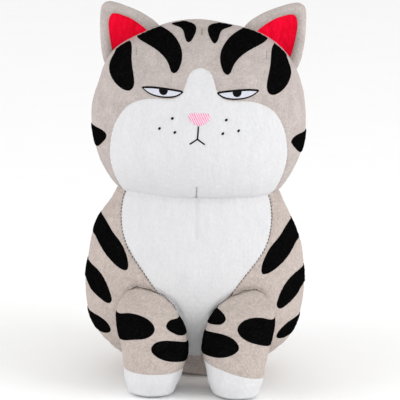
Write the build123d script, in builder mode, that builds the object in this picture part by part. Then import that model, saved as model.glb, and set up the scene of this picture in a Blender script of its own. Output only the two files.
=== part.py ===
"""Seated plush tabby cat, in millimetres.

The cat faces -Y and sits on the plane Z = 0, with the origin under its middle on the flat base.
Left and right are the cat's own: its left is +X. Every soft form is a loft of elliptical sections,
its fabric is the layer between two of those lofts, and each panel or patch is cut from that layer
by the outline that a pattern maker would draw on the front or the back view.
"""

import os
from math import atan2, cos, degrees, radians, sin, tan

from build123d import *

os.makedirs("parts", exist_ok=True)

# ---- fabric and clearances
FABRIC = 1.5  # short-pile plush with its backing
PATCH = 0.9  # felted patch, or a filled area of embroidery, on top of the fabric
SEWN_GAP = 1.2  # air between pieces on bodies that flex against each other
REACH = 220.0  # longer than any half of the toy, for cutting prisms

# ---- places of the seams that flex
NECK_Z = 175.0
NECK_GAP = 0.5
NOD_FORWARD, NOD_BACK = 10.0, 8.0
EAR_PIVOT = (67.5, 9.0, 311.0)
EAR_BASE_SLOPE = degrees(atan2(-37.0, 48.0))
EAR_FORWARD, EAR_BACK = 30.0, 20.0
LEG_PIVOT = (0.0, -61.0, 92.0)
LEG_LIFT = 25.0
TAIL_PIVOT = (0.0, 72.0, 30.0)
TAIL_SWING = 35.0

# ---- stuffed forms: (height, middle x, middle y, half width, depth to the front, depth to the back)
HEAD = (
    (175, 0, 0, 75.5, 50, 44),
    (186, 0, 0, 83.5, 60, 51),
    (196, 0, 0, 89.0, 66, 56),
    (211, 0, 0, 94.5, 71, 60),
    (231, 0, 0, 98.6, 73, 63),
    (243, 0, 0, 99.3, 72.5, 63),
    (260, 0, 0, 97.6, 70, 62),
    (277, 0, 0, 93.2, 65, 58),
    (293, 0, 0, 87.0, 57, 52),
    (307, 0, 0, 76.0, 47, 43),
    (318, 0, 0, 61.0, 36, 34),
    (328, 0, 0, 40.0, 22, 21),
    (333, 0, 0, 20.0, 11, 10),
    (334.5, 0, 0, 5.0, 3, 3),
)
TORSO = (
    (0, 0, 0, 36, 18, 34),
    (1.5, 0, 0, 43, 24, 40),
    (6, 0, 0, 51, 31, 48),
    (13, 0, 0, 61, 40, 56),
    (21, 0, 0, 73, 49, 63),
    (32, 0, 0, 85, 57, 69),
    (49, 0, 0, 96, 64, 74),
    (72, 0, 0, 101, 67, 76),
    (84, 0, 0, 101.5, 67, 75),
    (106, 0, 0, 99.8, 66, 72),
    (124, 0, 0, 97, 63, 67),
    (141, 0, 0, 91.5, 59, 60),
    (152, 0, 0, 86.5, 56, 54),
    (164, 0, 0, 80, 52.5, 48),
    (175, 0, 0, 75.5, 50, 44),
)
LEG = (
    (0, 39, -87, 15, 17, 17),
    (1.5, 39, -87, 19, 22, 22),
    (6, 38.5, -87, 22.5, 26, 26),
    (13, 38, -87, 25, 28.5, 28.5),
    (25, 37.5, -86, 27.5, 30, 30),
    (37, 37, -84, 30, 31, 31),
    (49, 38.5, -80, 31, 30.5, 30.5),
    (60, 41, -76, 31, 29, 29),
    (70.5, 44, -71, 28.5, 25, 25),
    (81.5, 47.5, -65, 21.5, 18, 18),
    (88, 49, -61.5, 13, 11, 11),
    (91, 49.5, -60, 4, 4, 4),
)
LEG_MIDDLE = 46.0

# ---- outlines on the front view, (x, z), for the cat's left half
MUZZLE_SIDE = (
    (0, 300), (11, 290), (16, 276), (30, 269), (52, 267),
    (68, 259), (79, 243), (82, 218), (77, 191), (67, 172),
)
BELLY_SIDE = (
    (69, 180), (70, 155), (66, 134), (54, 113),
    (36, 90), (17, 66), (9, 46), (6, 30),
)
BASE_Z = 27.0
PAW_Z = 26.0


def save(built, name):
    """Labels a finished piece and writes its STEP file."""
    built.part.label = name
    export_step(built.part, f"parts/{name}.step")


def mirrored(built):
    """The same piece for the cat's right side, as a builder of its own."""
    with BuildPart() as other:
        add(mirror(built.part, about=Plane.YZ))
    return other


def stuffed_form(sections, grow, fixed_z):
    """A loft of the sections, grown outwards by a distance, in which the height fixed_z stays put."""
    reach = max(abs(row[0] - fixed_z) for row in sections)
    with BuildPart() as form:
        for z, mid_x, mid_y, half_width, front, back in sections:
            height = fixed_z + (z - fixed_z) * (1 + grow / reach)
            with BuildSketch(Plane.XY.offset(height)):
                with BuildLine():
                    middle = (mid_x, mid_y)
                    EllipticalCenterArc(middle, half_width + grow, front + grow, start_angle=180, arc_size=180)
                    EllipticalCenterArc(middle, half_width + grow, back + grow, start_angle=0, arc_size=180)
                make_face()
        loft()
    return form.part


def closed_half(points):
    """An outline of straight and curved runs: a spline down the left side, mirrored to the right."""
    with BuildSketch(Plane.XZ) as outline:
        with BuildLine():
            side = Spline(*points)
            other = mirror(side, about=Plane.YZ)
            if points[0][0] > 0:
                Line(side @ 0, other @ 0)
            Line(side @ 1, other @ 1)
        make_face()
    return outline.sketch


def blob(points):
    """A closed smooth outline through the points, on the front view."""
    with BuildSketch(Plane.XZ) as outline:
        with BuildLine():
            Spline(*points, periodic=True)
        make_face()
    return outline.sketch


def leaf(start, end, upper_sag, lower_sag):
    """A pointed leaf between two tips, made of two arcs: the upper one bulges to the left of travel."""
    with BuildSketch(Plane.XZ) as outline:
        with BuildLine():
            SagittaArc(start, end, upper_sag)
            SagittaArc(end, start, lower_sag)
        make_face()
    return outline.sketch


def cut_from(layer, outline, towards=1):
    """The part of a fabric layer inside an outline: towards=1 takes the front half, -1 the back, 0 both."""
    with BuildPart() as piece:
        add(layer)
        extrude(outline, amount=REACH * (towards or 1), both=towards == 0, mode=Mode.INTERSECT)
    return piece


def turned(part, pivot, direction, angle):
    """The part turned about an axis by an angle in degrees."""
    return part.rotate(Axis(pivot, direction), angle)


# ---- head: outer and inner surfaces, with the underside cut back so that it can nod
with BuildPart() as nod_room:
    with BuildSketch(Plane.YZ):
        with BuildLine():
            Polyline(
                (-REACH, NECK_Z - REACH),
                (-REACH, NECK_Z + NECK_GAP + REACH * tan(radians(NOD_FORWARD + 1))),
                (0, NECK_Z + NECK_GAP),
                (REACH, NECK_Z + NECK_GAP + REACH * tan(radians(NOD_BACK + 1))),
                (REACH, NECK_Z - REACH),
                close=True,
            )
        make_face()
    extrude(amount=REACH, both=True)


def head_form(grow):
    """The head grown by a distance, without the room that the nod needs."""
    with BuildPart() as form:
        add(stuffed_form(HEAD, grow, NECK_Z))
        add(nod_room.part, mode=Mode.SUBTRACT)
    return form.part


head_outer = head_form(0)
head_inner = head_form(-FABRIC)
head_fabric = head_outer - head_inner
head_surface = head_form(PATCH) - head_outer

torso_outer = stuffed_form(TORSO, 0, NECK_Z)
torso_inner = stuffed_form(TORSO, -FABRIC, NECK_Z)
torso_fabric = torso_outer - torso_inner
torso_surface = stuffed_form(TORSO, PATCH, NECK_Z) - torso_outer

with BuildPart() as head_stuffing:
    add(head_inner)
save(head_stuffing, "head_stuffing")

muzzle_outline = closed_half(MUZZLE_SIDE)
muzzle_panel = cut_from(head_fabric, muzzle_outline)
save(muzzle_panel, "muzzle_panel")

with BuildPart() as face_panel:
    add(head_fabric)
    split(bisect_by=Plane.XZ, keep=Keep.TOP)
    extrude(muzzle_outline, amount=REACH, mode=Mode.SUBTRACT)
save(face_panel, "face_panel")

with BuildPart() as back_of_head_panel:
    add(head_fabric)
    split(bisect_by=Plane.XZ, keep=Keep.BOTTOM)
save(back_of_head_panel, "back_of_head_panel")

# ---- tabby marks on the head, each for the left side and mirrored
with BuildSketch(Plane.XZ) as forehead_mark:
    with BuildLine():
        ThreePointArc((61, 320), (33, 326), (20, 297))
        ThreePointArc((20, 297), (35, 314), (61, 320))
    make_face()
head_marks = {
    "crown_mark": leaf((12, 319), (31, 333.5), 4.5, 6.0),
    "forehead_mark": forehead_mark.sketch,
    "temple_mark": blob(((68, 313), (62, 300), (60, 284), (65, 274), (76, 280), (83, 294), (79, 308))),
    "cheek_mark": blob(((86, 229), (92, 237), (104, 241), (104, 213), (94, 217))),
}
for mark, outline in head_marks.items():
    left_mark = cut_from(head_surface, outline)
    save(left_mark, f"{mark}_left")
    save(mirrored(left_mark), f"{mark}_right")

# ---- embroidery: eyes, nose, mouth and the dots that stand for whiskers
EYE_INNER, EYE_OUTER = (16.5, 279.5), (51.5, 281.0)
EYE_LINE = 1.7  # width of the dark satin stitch round the eye
LID_SAG, UNDER_SAG = 2.8, 5.6
PUPIL_RADIUS, PUPIL_X, PUPIL_RISE = 4.3, 33.5, 0.8

eye_outline = leaf(EYE_INNER, EYE_OUTER, LID_SAG, UNDER_SAG)
with BuildSketch(Plane.XZ) as eye_opening:
    add(eye_outline)
    offset(amount=-EYE_LINE)
with BuildSketch(Plane.XZ) as eye_white_outline:
    add(eye_opening.sketch)
    with Locations((PUPIL_X, EYE_OUTER[1] + PUPIL_RISE)):
        Circle(PUPIL_RADIUS, mode=Mode.SUBTRACT)
with BuildSketch(Plane.XZ) as eye_thread_outline:
    add(eye_outline)
    add(eye_white_outline.sketch, mode=Mode.SUBTRACT)
for eye_piece, outline in (("eye_white", eye_white_outline), ("eye_thread", eye_thread_outline)):
    left_piece = cut_from(head_surface, outline.sketch)
    save(left_piece, f"{eye_piece}_left")
    save(mirrored(left_piece), f"{eye_piece}_right")

NOSE = (
    (0, 261), (8.5, 260), (9.5, 256.5), (4.5, 252),
    (0, 250), (-4.5, 252), (-9.5, 256.5), (-8.5, 260),
)
save(cut_from(head_surface, blob(NOSE)), "nose_embroidery")

MOUTH_LINE = 1.3
with BuildSketch(Plane.XZ) as mouth_outline:
    with BuildLine() as mouth_lines:
        Line((0, 248.3), (0, 237.8))
        ThreePointArc((0, 237.8), (3.5, 235.0), (7.2, 233.4))
        ThreePointArc((0, 237.8), (-3.5, 235.0), (-7.2, 233.4))
    trace(line_width=MOUTH_LINE)
save(cut_from(head_surface, mouth_outline.sketch), "mouth_embroidery")

DOT_RADIUS = 1.2
with BuildSketch(Plane.XZ) as dots_outline:
    for side in (-1, 1):
        with Locations((24.7 * side, 255.5), (36 * side, 245.5), (22.5 * side, 243)):
            Circle(DOT_RADIUS)
save(cut_from(head_surface, dots_outline.sketch), "whisker_dots")

# ---- torso panels
with BuildPart() as torso_stuffing:
    add(torso_inner)
save(torso_stuffing, "torso_stuffing")

belly_outline = closed_half(BELLY_SIDE)
base_room = Plane.XY.offset(BASE_Z)

with BuildPart() as base_panel:
    add(torso_fabric)
    split(bisect_by=base_room, keep=Keep.BOTTOM)
save(base_panel, "base_panel")

with BuildPart() as torso_wall:
    add(torso_fabric)
    split(bisect_by=base_room, keep=Keep.TOP)

with BuildPart() as back_panel:
    add(torso_wall.part)
    split(bisect_by=Plane.XZ, keep=Keep.BOTTOM)
save(back_panel, "back_panel")

save(cut_from(torso_wall.part, belly_outline), "belly_panel")

with BuildPart() as flank_panel_left:
    add(torso_wall.part)
    split(bisect_by=Plane.XZ, keep=Keep.TOP)
    split(bisect_by=Plane.YZ, keep=Keep.TOP)
    extrude(belly_outline, amount=REACH, mode=Mode.SUBTRACT)
save(flank_panel_left, "flank_panel_left")
save(mirrored(flank_panel_left), "flank_panel_right")

# ---- tabby marks on the flanks and across the back
flank_marks = {
    "flank_mark_upper": leaf((86.5, 152), (63, 105), 8.5, 8.5),
    "flank_mark_middle": leaf((101, 106), (76.5, 72), 6.5, 7.0),
    "flank_mark_lower": leaf((99, 58), (77.5, 43), 4.2, 4.2),
}
for mark, outline in flank_marks.items():
    left_mark = cut_from(torso_surface, outline)
    save(left_mark, f"{mark}_left")
    save(mirrored(left_mark), f"{mark}_right")

BACK_MARK_HALF = 58.0
for mark, height in (("upper", 140.0), ("middle", 106.0), ("lower", 72.0)):
    outline = leaf((-BACK_MARK_HALF, height), (BACK_MARK_HALF, height), 2.0, 14.0)
    save(cut_from(torso_surface, outline, -1), f"back_mark_{mark}")

# ---- the hand-sewn closing seam low on the back
STITCH_LONG, STITCH_WIDE, STITCH_PITCH, STITCHES = 1.2, 4.0, 5.0, 5
SEAM_HEIGHT = 46.0
with BuildSketch(Plane.XZ) as stitches_outline:
    with Locations((0, SEAM_HEIGHT)):
        with GridLocations(1, STITCH_PITCH, 1, STITCHES):
            SlotOverall(STITCH_WIDE, STITCH_LONG)
save(cut_from(torso_surface, stitches_outline.sketch, -1), "closing_seam")


# ---- forelegs: a stuffed leg sewn on at its top, with a white paw and three marks
def leg_room(grow):
    """The space that the torso takes, for cutting the back of a leg at rest and when it is lifted."""
    torso = stuffed_form(TORSO, PATCH + grow, NECK_Z)
    with BuildPart() as room:
        add(torso)
        add(turned(torso, LEG_PIVOT, (1, 0, 0), LEG_LIFT))
    return room.part


leg_space = leg_room(SEWN_GAP)
leg_outer = stuffed_form(LEG, 0, LEG_MIDDLE) - leg_space
leg_inner = stuffed_form(LEG, -FABRIC, LEG_MIDDLE) - leg_space
leg_fabric = leg_outer - leg_inner
leg_surface = stuffed_form(LEG, PATCH, LEG_MIDDLE) - leg_space - leg_outer

with BuildPart() as leg_stuffing:
    add(leg_inner)
with BuildPart() as leg_cover:
    add(leg_fabric)
    split(bisect_by=Plane.XY.offset(PAW_Z), keep=Keep.TOP)
with BuildPart() as paw_cover:
    add(leg_fabric)
    split(bisect_by=Plane.XY.offset(PAW_Z), keep=Keep.BOTTOM)

leg_pieces = {"leg_stuffing": leg_stuffing, "leg_cover": leg_cover, "paw_cover": paw_cover}
leg_marks = {
    "leg_mark_outer": blob(((36, 65), (42, 73), (54, 77), (78, 79), (80, 49), (56, 53), (42, 57))),
    "leg_mark_upper": blob(((28, 68), (22, 75), (10, 78), (3, 64), (14, 61), (24, 62))),
    "leg_mark_lower": blob(((39, 42), (34, 50), (22, 55), (2, 56), (0, 36), (14, 33), (30, 35))),
}
with BuildPart() as leg_front:
    add(leg_surface)
    with BuildSketch(Plane.XY):
        with Locations((LEG[5][1], LEG[5][2] - REACH / 2)):
            Rectangle(REACH, REACH)
    extrude(amount=REACH, mode=Mode.INTERSECT)
for mark, outline in leg_marks.items():
    leg_pieces[mark] = cut_from(leg_front.part, outline)
for piece, built in leg_pieces.items():
    save(built, f"{piece}_left")
    save(mirrored(built), f"{piece}_right")

# ---- ears: a thin padded triangle with a lined front
EAR_OUTLINE = (
    (41, 327), (49, 334), (60.5, 340.5), (73, 345), (85, 348),
    (93, 342), (95.5, 327), (94.5, 306), (89, 289),
)
EAR_ROOT = ((78, 280), (50, 300), (38, 318))
LINING_OUTLINE = (
    (52, 323), (60, 330), (69, 335.5), (82.5, 338.5), (87.5, 332),
    (87.5, 318), (85.5, 308), (82, 298), (60, 300),
)
EAR_MIDDLE = (73.5, 311.0)  # point on the front view that the crowned faces shrink towards
EAR_REACH = 40.0  # mean distance from that point to the ear's edge
EAR_BACK_RISE, EAR_FRONT_RISE = 5.5, 4.5
EAR_INSET = 0.9  # how much smaller the crowned faces are than the ear's edge


def ear_form(grow):
    """The ear as a crowned cushion: its outline at the edge, and smaller copies on its two faces."""
    x_mid, z_mid = EAR_MIDDLE
    levels = ((EAR_BACK_RISE + grow, EAR_INSET), (0, 1.0), (-EAR_FRONT_RISE - grow, EAR_INSET))
    with BuildPart() as form:
        for depth, share in levels:
            ratio = share + grow / EAR_REACH
            rim = [
                (x_mid + (x - x_mid) * ratio, z_mid + (z - z_mid) * ratio)
                for x, z in EAR_OUTLINE + EAR_ROOT
            ]
            with BuildSketch(Plane.XZ.offset(-EAR_PIVOT[1] - depth)):
                with BuildLine():
                    Spline(*rim, periodic=True)
                make_face()
        loft()
    return form.part


ear_axis = (cos(radians(EAR_BASE_SLOPE)), 0, sin(radians(EAR_BASE_SLOPE)))
head_skin_form = stuffed_form(HEAD, PATCH + SEWN_GAP, NECK_Z)
with BuildPart() as ear_space:
    add(head_skin_form)
    add(turned(head_skin_form, EAR_PIVOT, ear_axis, EAR_BACK))
    add(turned(head_skin_form, EAR_PIVOT, ear_axis, -EAR_FORWARD))
ear_outer = ear_form(0) - ear_space.part
ear_inner = ear_form(-FABRIC) - ear_space.part
ear_fabric = ear_outer - ear_inner
ear_middle = Plane.XZ.offset(-EAR_PIVOT[1])

with BuildPart() as ear_padding:
    add(ear_inner)
with BuildPart() as ear_back:
    add(ear_fabric)
    split(bisect_by=ear_middle, keep=Keep.BOTTOM)
with BuildPart() as ear_front:
    add(ear_fabric)
    split(bisect_by=ear_middle, keep=Keep.TOP)
lining_outline = blob(LINING_OUTLINE)
ear_lining = cut_from(ear_front.part, lining_outline, 0)
with BuildPart() as ear_rim:
    add(ear_front.part)
    extrude(lining_outline, amount=REACH, both=True, mode=Mode.SUBTRACT)
ear_pieces = {
    "ear_padding": ear_padding,
    "ear_back": ear_back,
    "ear_rim": ear_rim,
    "ear_lining": ear_lining,
}
for piece, built in ear_pieces.items():
    save(built, f"{piece}_left")
    save(mirrored(built), f"{piece}_right")

# ---- tail: a stuffed tube from low on the back, curving up behind
TAIL_RADIUS, TAIL_BEND, TAIL_TOP, TIP_Z = 12.0, 24.0, 118.0, 100.0
ROOT_INSIDE, ROOT_OUTSIDE = 8.0, 4.0  # straight length on each side of the pivot
SWING_STEPS = (0.0, 0.25, 0.5, 0.75, 1.0)  # shares of the swing that the root is cut for
tail_start = (0, TAIL_PIVOT[1] - ROOT_INSIDE, TAIL_PIVOT[2])
tail_turn = (0, TAIL_PIVOT[1] + ROOT_OUTSIDE, TAIL_PIVOT[2])
with BuildLine() as tail_path:
    root = Line(tail_start, tail_turn)
    bend = TangentArc(tail_turn, (0, tail_turn[1] + TAIL_BEND, tail_turn[2] + TAIL_BEND), tangent=(0, 1, 0))
    rise = Line(bend @ 1, (0, tail_turn[1] + TAIL_BEND, TAIL_TOP))


def tail_form(grow):
    """The tail as a round tube along its path with a domed end."""
    with BuildPart() as form:
        with BuildSketch(Plane(origin=tail_start, z_dir=(0, 1, 0))):
            Circle(TAIL_RADIUS + grow)
        sweep(path=tail_path.line)
        with Locations(rise @ 1):
            Sphere(TAIL_RADIUS + grow)
    return form.part


torso_skin_form = stuffed_form(TORSO, PATCH + SEWN_GAP, NECK_Z)


def clear_of_torso(form):
    """The form without what the torso would cover at any angle of the tail's swing."""
    for share in SWING_STEPS:
        form = form - turned(torso_skin_form, TAIL_PIVOT, (0, 0, 1), TAIL_SWING * share)
        form = form - turned(torso_skin_form, TAIL_PIVOT, (0, 0, 1), -TAIL_SWING * share)
    return form


tail_outer = clear_of_torso(tail_form(0))
tail_inner = clear_of_torso(tail_form(-FABRIC))
tail_fabric = tail_outer - tail_inner
tail_surface = clear_of_torso(tail_form(PATCH) - tail_form(0))

with BuildPart() as tail_stuffing:
    add(tail_inner)
save(tail_stuffing, "tail_stuffing")
with BuildPart() as tail_cover:
    add(tail_fabric)
    split(bisect_by=Plane.XY.offset(TIP_Z), keep=Keep.BOTTOM)
save(tail_cover, "tail_cover")
with BuildPart() as tail_tip_cover:
    add(tail_fabric)
    split(bisect_by=Plane.XY.offset(TIP_Z), keep=Keep.TOP)
save(tail_tip_cover, "tail_tip_cover")

BAND_HEIGHT, BAND_ROOM = 10.0, 60.0
with BuildPart() as band_slabs:
    for height in (60.0, 80.0):
        with BuildSketch(Plane.XY.offset(height)):
            with Locations((0, tail_turn[1] + TAIL_BEND)):
                Rectangle(BAND_ROOM, BAND_ROOM)
        extrude(amount=BAND_HEIGHT)
with BuildPart() as tail_bands:
    add(tail_surface)
    add(band_slabs.part, mode=Mode.INTERSECT)
save(tail_bands, "tail_bands")
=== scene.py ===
"""Seated plush tabby cat: the sewn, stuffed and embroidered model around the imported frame.

The cat faces -Y and sits on z = 0. Its left is +X. Shapes are worked out in millimetres as whole
numpy arrays and become metres when a mesh is made. A stuffed form is a stack of half ellipses, its
panels are parts of that skin between sewing outlines, and felt marks and embroidery lie on it.
"""

import logging
from dataclasses import dataclass, field
from enum import Enum
from functools import reduce
from typing import Callable, Iterable, Optional, Sequence

import bmesh
import bpy
import numpy as np
from mathutils import Matrix, Vector


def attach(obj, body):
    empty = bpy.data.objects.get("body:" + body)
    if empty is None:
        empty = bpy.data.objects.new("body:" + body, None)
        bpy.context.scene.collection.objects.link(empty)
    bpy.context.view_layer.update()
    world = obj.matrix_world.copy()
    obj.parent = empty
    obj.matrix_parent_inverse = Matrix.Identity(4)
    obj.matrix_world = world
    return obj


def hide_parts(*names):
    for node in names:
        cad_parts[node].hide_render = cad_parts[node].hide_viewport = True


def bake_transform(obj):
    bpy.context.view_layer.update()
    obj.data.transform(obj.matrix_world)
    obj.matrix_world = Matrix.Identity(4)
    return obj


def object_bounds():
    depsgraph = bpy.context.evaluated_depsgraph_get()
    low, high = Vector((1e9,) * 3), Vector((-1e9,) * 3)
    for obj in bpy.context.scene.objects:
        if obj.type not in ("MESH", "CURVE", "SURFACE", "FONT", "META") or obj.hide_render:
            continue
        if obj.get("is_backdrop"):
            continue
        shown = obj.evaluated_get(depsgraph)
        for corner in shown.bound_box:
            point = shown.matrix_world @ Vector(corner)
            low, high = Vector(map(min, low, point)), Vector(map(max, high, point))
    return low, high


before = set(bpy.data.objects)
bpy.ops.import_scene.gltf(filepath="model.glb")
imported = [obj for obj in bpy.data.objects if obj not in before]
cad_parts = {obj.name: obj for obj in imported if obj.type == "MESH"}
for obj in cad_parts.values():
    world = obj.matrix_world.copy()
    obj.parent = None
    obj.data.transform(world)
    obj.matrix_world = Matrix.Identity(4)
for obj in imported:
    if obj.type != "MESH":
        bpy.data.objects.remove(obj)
CAD_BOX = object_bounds()

log = logging.getLogger("plush_cat")
Array = np.ndarray
Pairs = Sequence[tuple[float, float]]

MM = 0.001
FABRIC = 1.3  # thickness of the plush with its backing
FELT_RISE = 0.9  # height of a felt mark above the plush
NECK_Z = 175.0
NECK_LAP = 1.4  # how far the panels of head and torso run on inside the neck crease
FACE_HEIGHT = 235.0  # height of the point that the head's panels fan out from
SIDES = (("left", 1.0), ("right", -1.0))
FULL, FIRM, THIN = 0.9, 0.85, 0.6  # how full the body, the limbs and the ears are stuffed
FLOOR_NORMAL = (0.0, 0.0, -1.0)


# ---- curves and noise


def spline(knots: Sequence[float], values: Sequence) -> Callable[[Array], Array]:
    """Makes a cubic spline through values, bent as little as it can be at its two ends.

    Args:
        knots: Where the values are given, in rising order.
        values: One number or one row per knot.

    Returns:
        A function from an array of places to the values there.
    """
    x = np.asarray(knots, float)
    y = np.asarray(values, float).reshape(len(x), -1)
    gap = np.diff(x)
    slope = np.diff(y, axis=0) / gap[:, None]
    inner = np.arange(1, len(x) - 1)
    system = np.zeros((len(x), len(x)))
    system[0, 0] = system[-1, -1] = 1.0
    system[inner, inner - 1] = gap[:-1]
    system[inner, inner] = 2 * (gap[:-1] + gap[1:])
    system[inner, inner + 1] = gap[1:]
    target = np.zeros_like(y)
    target[1:-1] = 6 * np.diff(slope, axis=0)
    bend = np.linalg.solve(system, target)
    scalar = np.ndim(values[0]) == 0

    def at(place: Array) -> Array:
        """The spline's value at each place."""
        t = np.asarray(place, float)
        k = np.clip(np.searchsorted(x, t, side="right") - 1, 0, len(x) - 2)
        h, step = gap[k][..., None], (t - x[k])[..., None]
        first = slope[k] - h * (2 * bend[k] + bend[k + 1]) / 6
        value = y[k] + first * step + bend[k] / 2 * step**2 + (bend[k + 1] - bend[k]) / (6 * h) * step**3
        return value[..., 0] if scalar else value

    return at


def lengths(path: Array) -> Array:
    """Length along a path up to each of its points."""
    return np.concatenate([[0.0], np.cumsum(np.linalg.norm(np.diff(path, axis=0), axis=1))])


def resampled(path: Array, count: int) -> Array:
    """Spaces count points evenly along a path, by its length."""
    along = lengths(path)
    places = np.linspace(0, along[-1], count)
    return np.stack([np.interp(places, along, path[:, k]) for k in range(path.shape[1])], axis=1)


def unit(rows: Array) -> Array:
    """Each row scaled to length 1."""
    return rows / np.linalg.norm(rows, axis=1, keepdims=True)


def full_turn(count: int) -> Array:
    """Angles once round from -180 degrees, the last one short of the first."""
    return np.linspace(-np.pi, np.pi, count, endpoint=False)


def drawn(points: Pairs, count: int, closed: bool = False) -> Array:
    """Draws a smooth line through points.

    Args:
        points: The points it goes through.
        count: How many points to give back, evenly spaced.
        closed: Whether it runs back to its start.

    Returns:
        An array of count rows; a closed line doesn't repeat its first point.
    """
    knots = np.asarray(points, float)
    if closed:
        knots = np.concatenate([knots[-3:], knots, knots[:4]])
    chord = np.concatenate([[0.0], np.cumsum(np.linalg.norm(np.diff(knots, axis=0), axis=1) ** 0.7)])
    curve = spline(chord, knots)
    if closed:
        dense = curve(np.linspace(chord[3], chord[-4], 1200))
        return resampled(dense, count + 1)[:-1]
    return resampled(curve(np.linspace(0, chord[-1], 1200)), count)


@dataclass(frozen=True)
class Unevenness:
    """A gentle, repeatable roughness: a sum of sine waves in random directions.

    Attributes:
        seed: Picks the directions and phases.
        wavelength: Mean length of a wave, in mm.
        height: Typical height, in mm.
        waves: How many waves are added up.
    """

    seed: int
    wavelength: float
    height: float
    waves: int = 18

    def at(self, points: Array) -> Array:
        """The height at each point of an array whose last axis is x, y, z."""
        dice = np.random.default_rng(self.seed)
        direction = dice.normal(size=(3, self.waves))
        direction /= np.linalg.norm(direction, axis=0)
        length = self.wavelength * dice.uniform(0.65, 1.5, self.waves)
        phase = dice.uniform(0, 2 * np.pi, self.waves)
        total = np.sin(points @ (direction * 2 * np.pi / length) + phase).sum(axis=-1)
        return self.height * total / np.sqrt(self.waves / 2)


@dataclass(frozen=True)
class Seam:
    """A sewn line that pulls the skin in by a bell curve, more and less in turn where it puckers.

    Attributes:
        path: Points along the seam, in mm.
        depth: How far the skin dips on the seam.
        width: Distance at which the dip has mostly gone.
        pucker: Share of the depth that comes and goes along the seam.
        pitch: Length of one pucker.
    """

    path: Array
    depth: float
    width: float
    pucker: float = 0.35
    pitch: float = 4.6

    def dip(self, points: Array) -> Array:
        """How far each point is pulled in: depth times exp(-(distance / width) squared)."""
        flat = points.reshape(-1, 3)
        low, high = self.path.min(axis=0) - 3 * self.width, self.path.max(axis=0) + 3 * self.width
        near = np.flatnonzero(((flat > low) & (flat < high)).all(axis=1))
        dips = np.zeros(len(flat))
        if len(near):
            spot, line = flat[near].astype(np.float32), self.path.astype(np.float32)
            centre = line.mean(axis=0)
            spot, line = spot - centre, line - centre
            square = (spot**2).sum(1)[:, None] + (line**2).sum(1)[None] - 2 * spot @ line.T
            nearest = square.argmin(axis=1)
            distance = np.sqrt(np.maximum(square[np.arange(len(near)), nearest], 0))
            wave = 1 + self.pucker * np.sin(2 * np.pi * lengths(self.path)[nearest] / self.pitch)
            dips[near] = self.depth * wave * np.exp(-((distance / self.width) ** 2))
        return dips.reshape(points.shape[:-1])


# ---- stuffed forms and the ways of finding a place on them


@dataclass
class StuffedForm:
    """A soft form of stacked sections, each two half ellipses that share a width.

    At height z the skin is x = mid x + a sin t, y = mid y - d cos t: a is the half width, and d is
    the depth to the front for t within 90 degrees of the front and the depth to the back beyond.
    The squares of a and d run through the table as splines, so a form closes in a round top.

    Attributes:
        sections: Rows of height, middle x, middle y, half width, depth to the front and to the back.
        side: 1, or -1 to mirror the form to the cat's right.
        lumps: Slow unevenness of the stuffing.
        pile: Fine unevenness of the plush.
        seams: Sewn lines that pull the skin in.
    """

    sections: Sequence[Sequence[float]]
    side: float = 1.0
    lumps: Unevenness = Unevenness(3, 46.0, 0.55)
    pile: Unevenness = Unevenness(7, 4.2, 0.075)
    seams: list = field(default_factory=list)

    def __post_init__(self) -> None:
        """Fits one spline to each column of the table."""
        table = np.asarray(self.sections, float)
        self.top = table[-1, 0]
        self.middle = spline(table[:, 0], table[:, 1:3])
        self.square = spline(table[:, 0], table[:, 3:6] ** 2)

    def section(self, z: Array) -> tuple[Array, Array, Array, Array, Array]:
        """Middle x, middle y, half width, front depth and back depth at each height."""
        middle, square = self.middle(z), np.sqrt(np.maximum(self.square(z), 1e-3))
        return self.side * middle[..., 0], middle[..., 1], square[..., 0], square[..., 1], square[..., 2]

    def around(self, turn: Array, z: Array) -> Array:
        """The skin at an angle round the form, 0 at the front and rising to its outer side."""
        mid_x, mid_y, wide, front, back = self.section(z)
        depth = np.where(np.cos(turn) >= 0, front, back)
        x = mid_x + self.side * wide * np.sin(turn)
        return np.stack(np.broadcast_arrays(x, mid_y - depth * np.cos(turn), z), axis=-1)

    def facing(self, x: Array, z: Array, back: bool = False) -> Array:
        """The skin straight behind a point (x, z) of the front view, or of the back view."""
        mid_x, mid_y, wide, front, rear = self.section(z)
        rise = np.sqrt(np.maximum(1 - ((x - mid_x) / wide) ** 2, 0))
        y = mid_y + (rear * rise if back else -front * rise)
        return np.stack(np.broadcast_arrays(x, y, z), axis=-1)

    def ring(self, z: float, count: int) -> Array:
        """A line once round the form at one height."""
        return self.around(np.linspace(-np.pi, np.pi, count), np.full(count, z))

    def upright(self, low: float, high: float, count: int, x: float = 0.0, back: bool = False) -> Array:
        """A line up the front of the form, or up its back."""
        return self.facing(np.full(count, x), np.linspace(low, high, count), back)

    def inside(self, points: Array) -> Array:
        """Below 0 inside the form, 0 on its skin: (dx / a) squared + (dy / d) squared - 1."""
        mid_x, mid_y, wide, front, back = self.section(points[..., 2])
        dx, dy = points[..., 0] - mid_x, points[..., 1] - mid_y
        return (dx / wide) ** 2 + (dy / np.where(dy < 0, front, back)) ** 2 - 1

    def outward(self, points: Array) -> Array:
        """Unit normals: the slope of inside() by central differences."""
        steps = np.eye(3) * 0.25
        slope = [self.inside(points + step) - self.inside(points - step) for step in steps]
        slope = np.stack(slope, axis=-1)
        return slope / np.maximum(np.linalg.norm(slope, axis=-1, keepdims=True), 1e-9)

    def dressed(self, points: Array, lift: Array = 0.0) -> tuple[Array, Array]:
        """Moves skin points out by lift plus lumps and pile, and in by the seams' dips.

        Args:
            points: Places on the bare skin.
            lift: Extra height above it, one number or one per point.

        Returns:
            The moved points and the normals they moved along.
        """
        normals = self.outward(points)
        height = lift + self.lumps.at(points) + self.pile.at(points)
        for seam in self.seams:
            height = height - seam.dip(points)
        return points + normals * np.asarray(height)[..., None], normals


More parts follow.
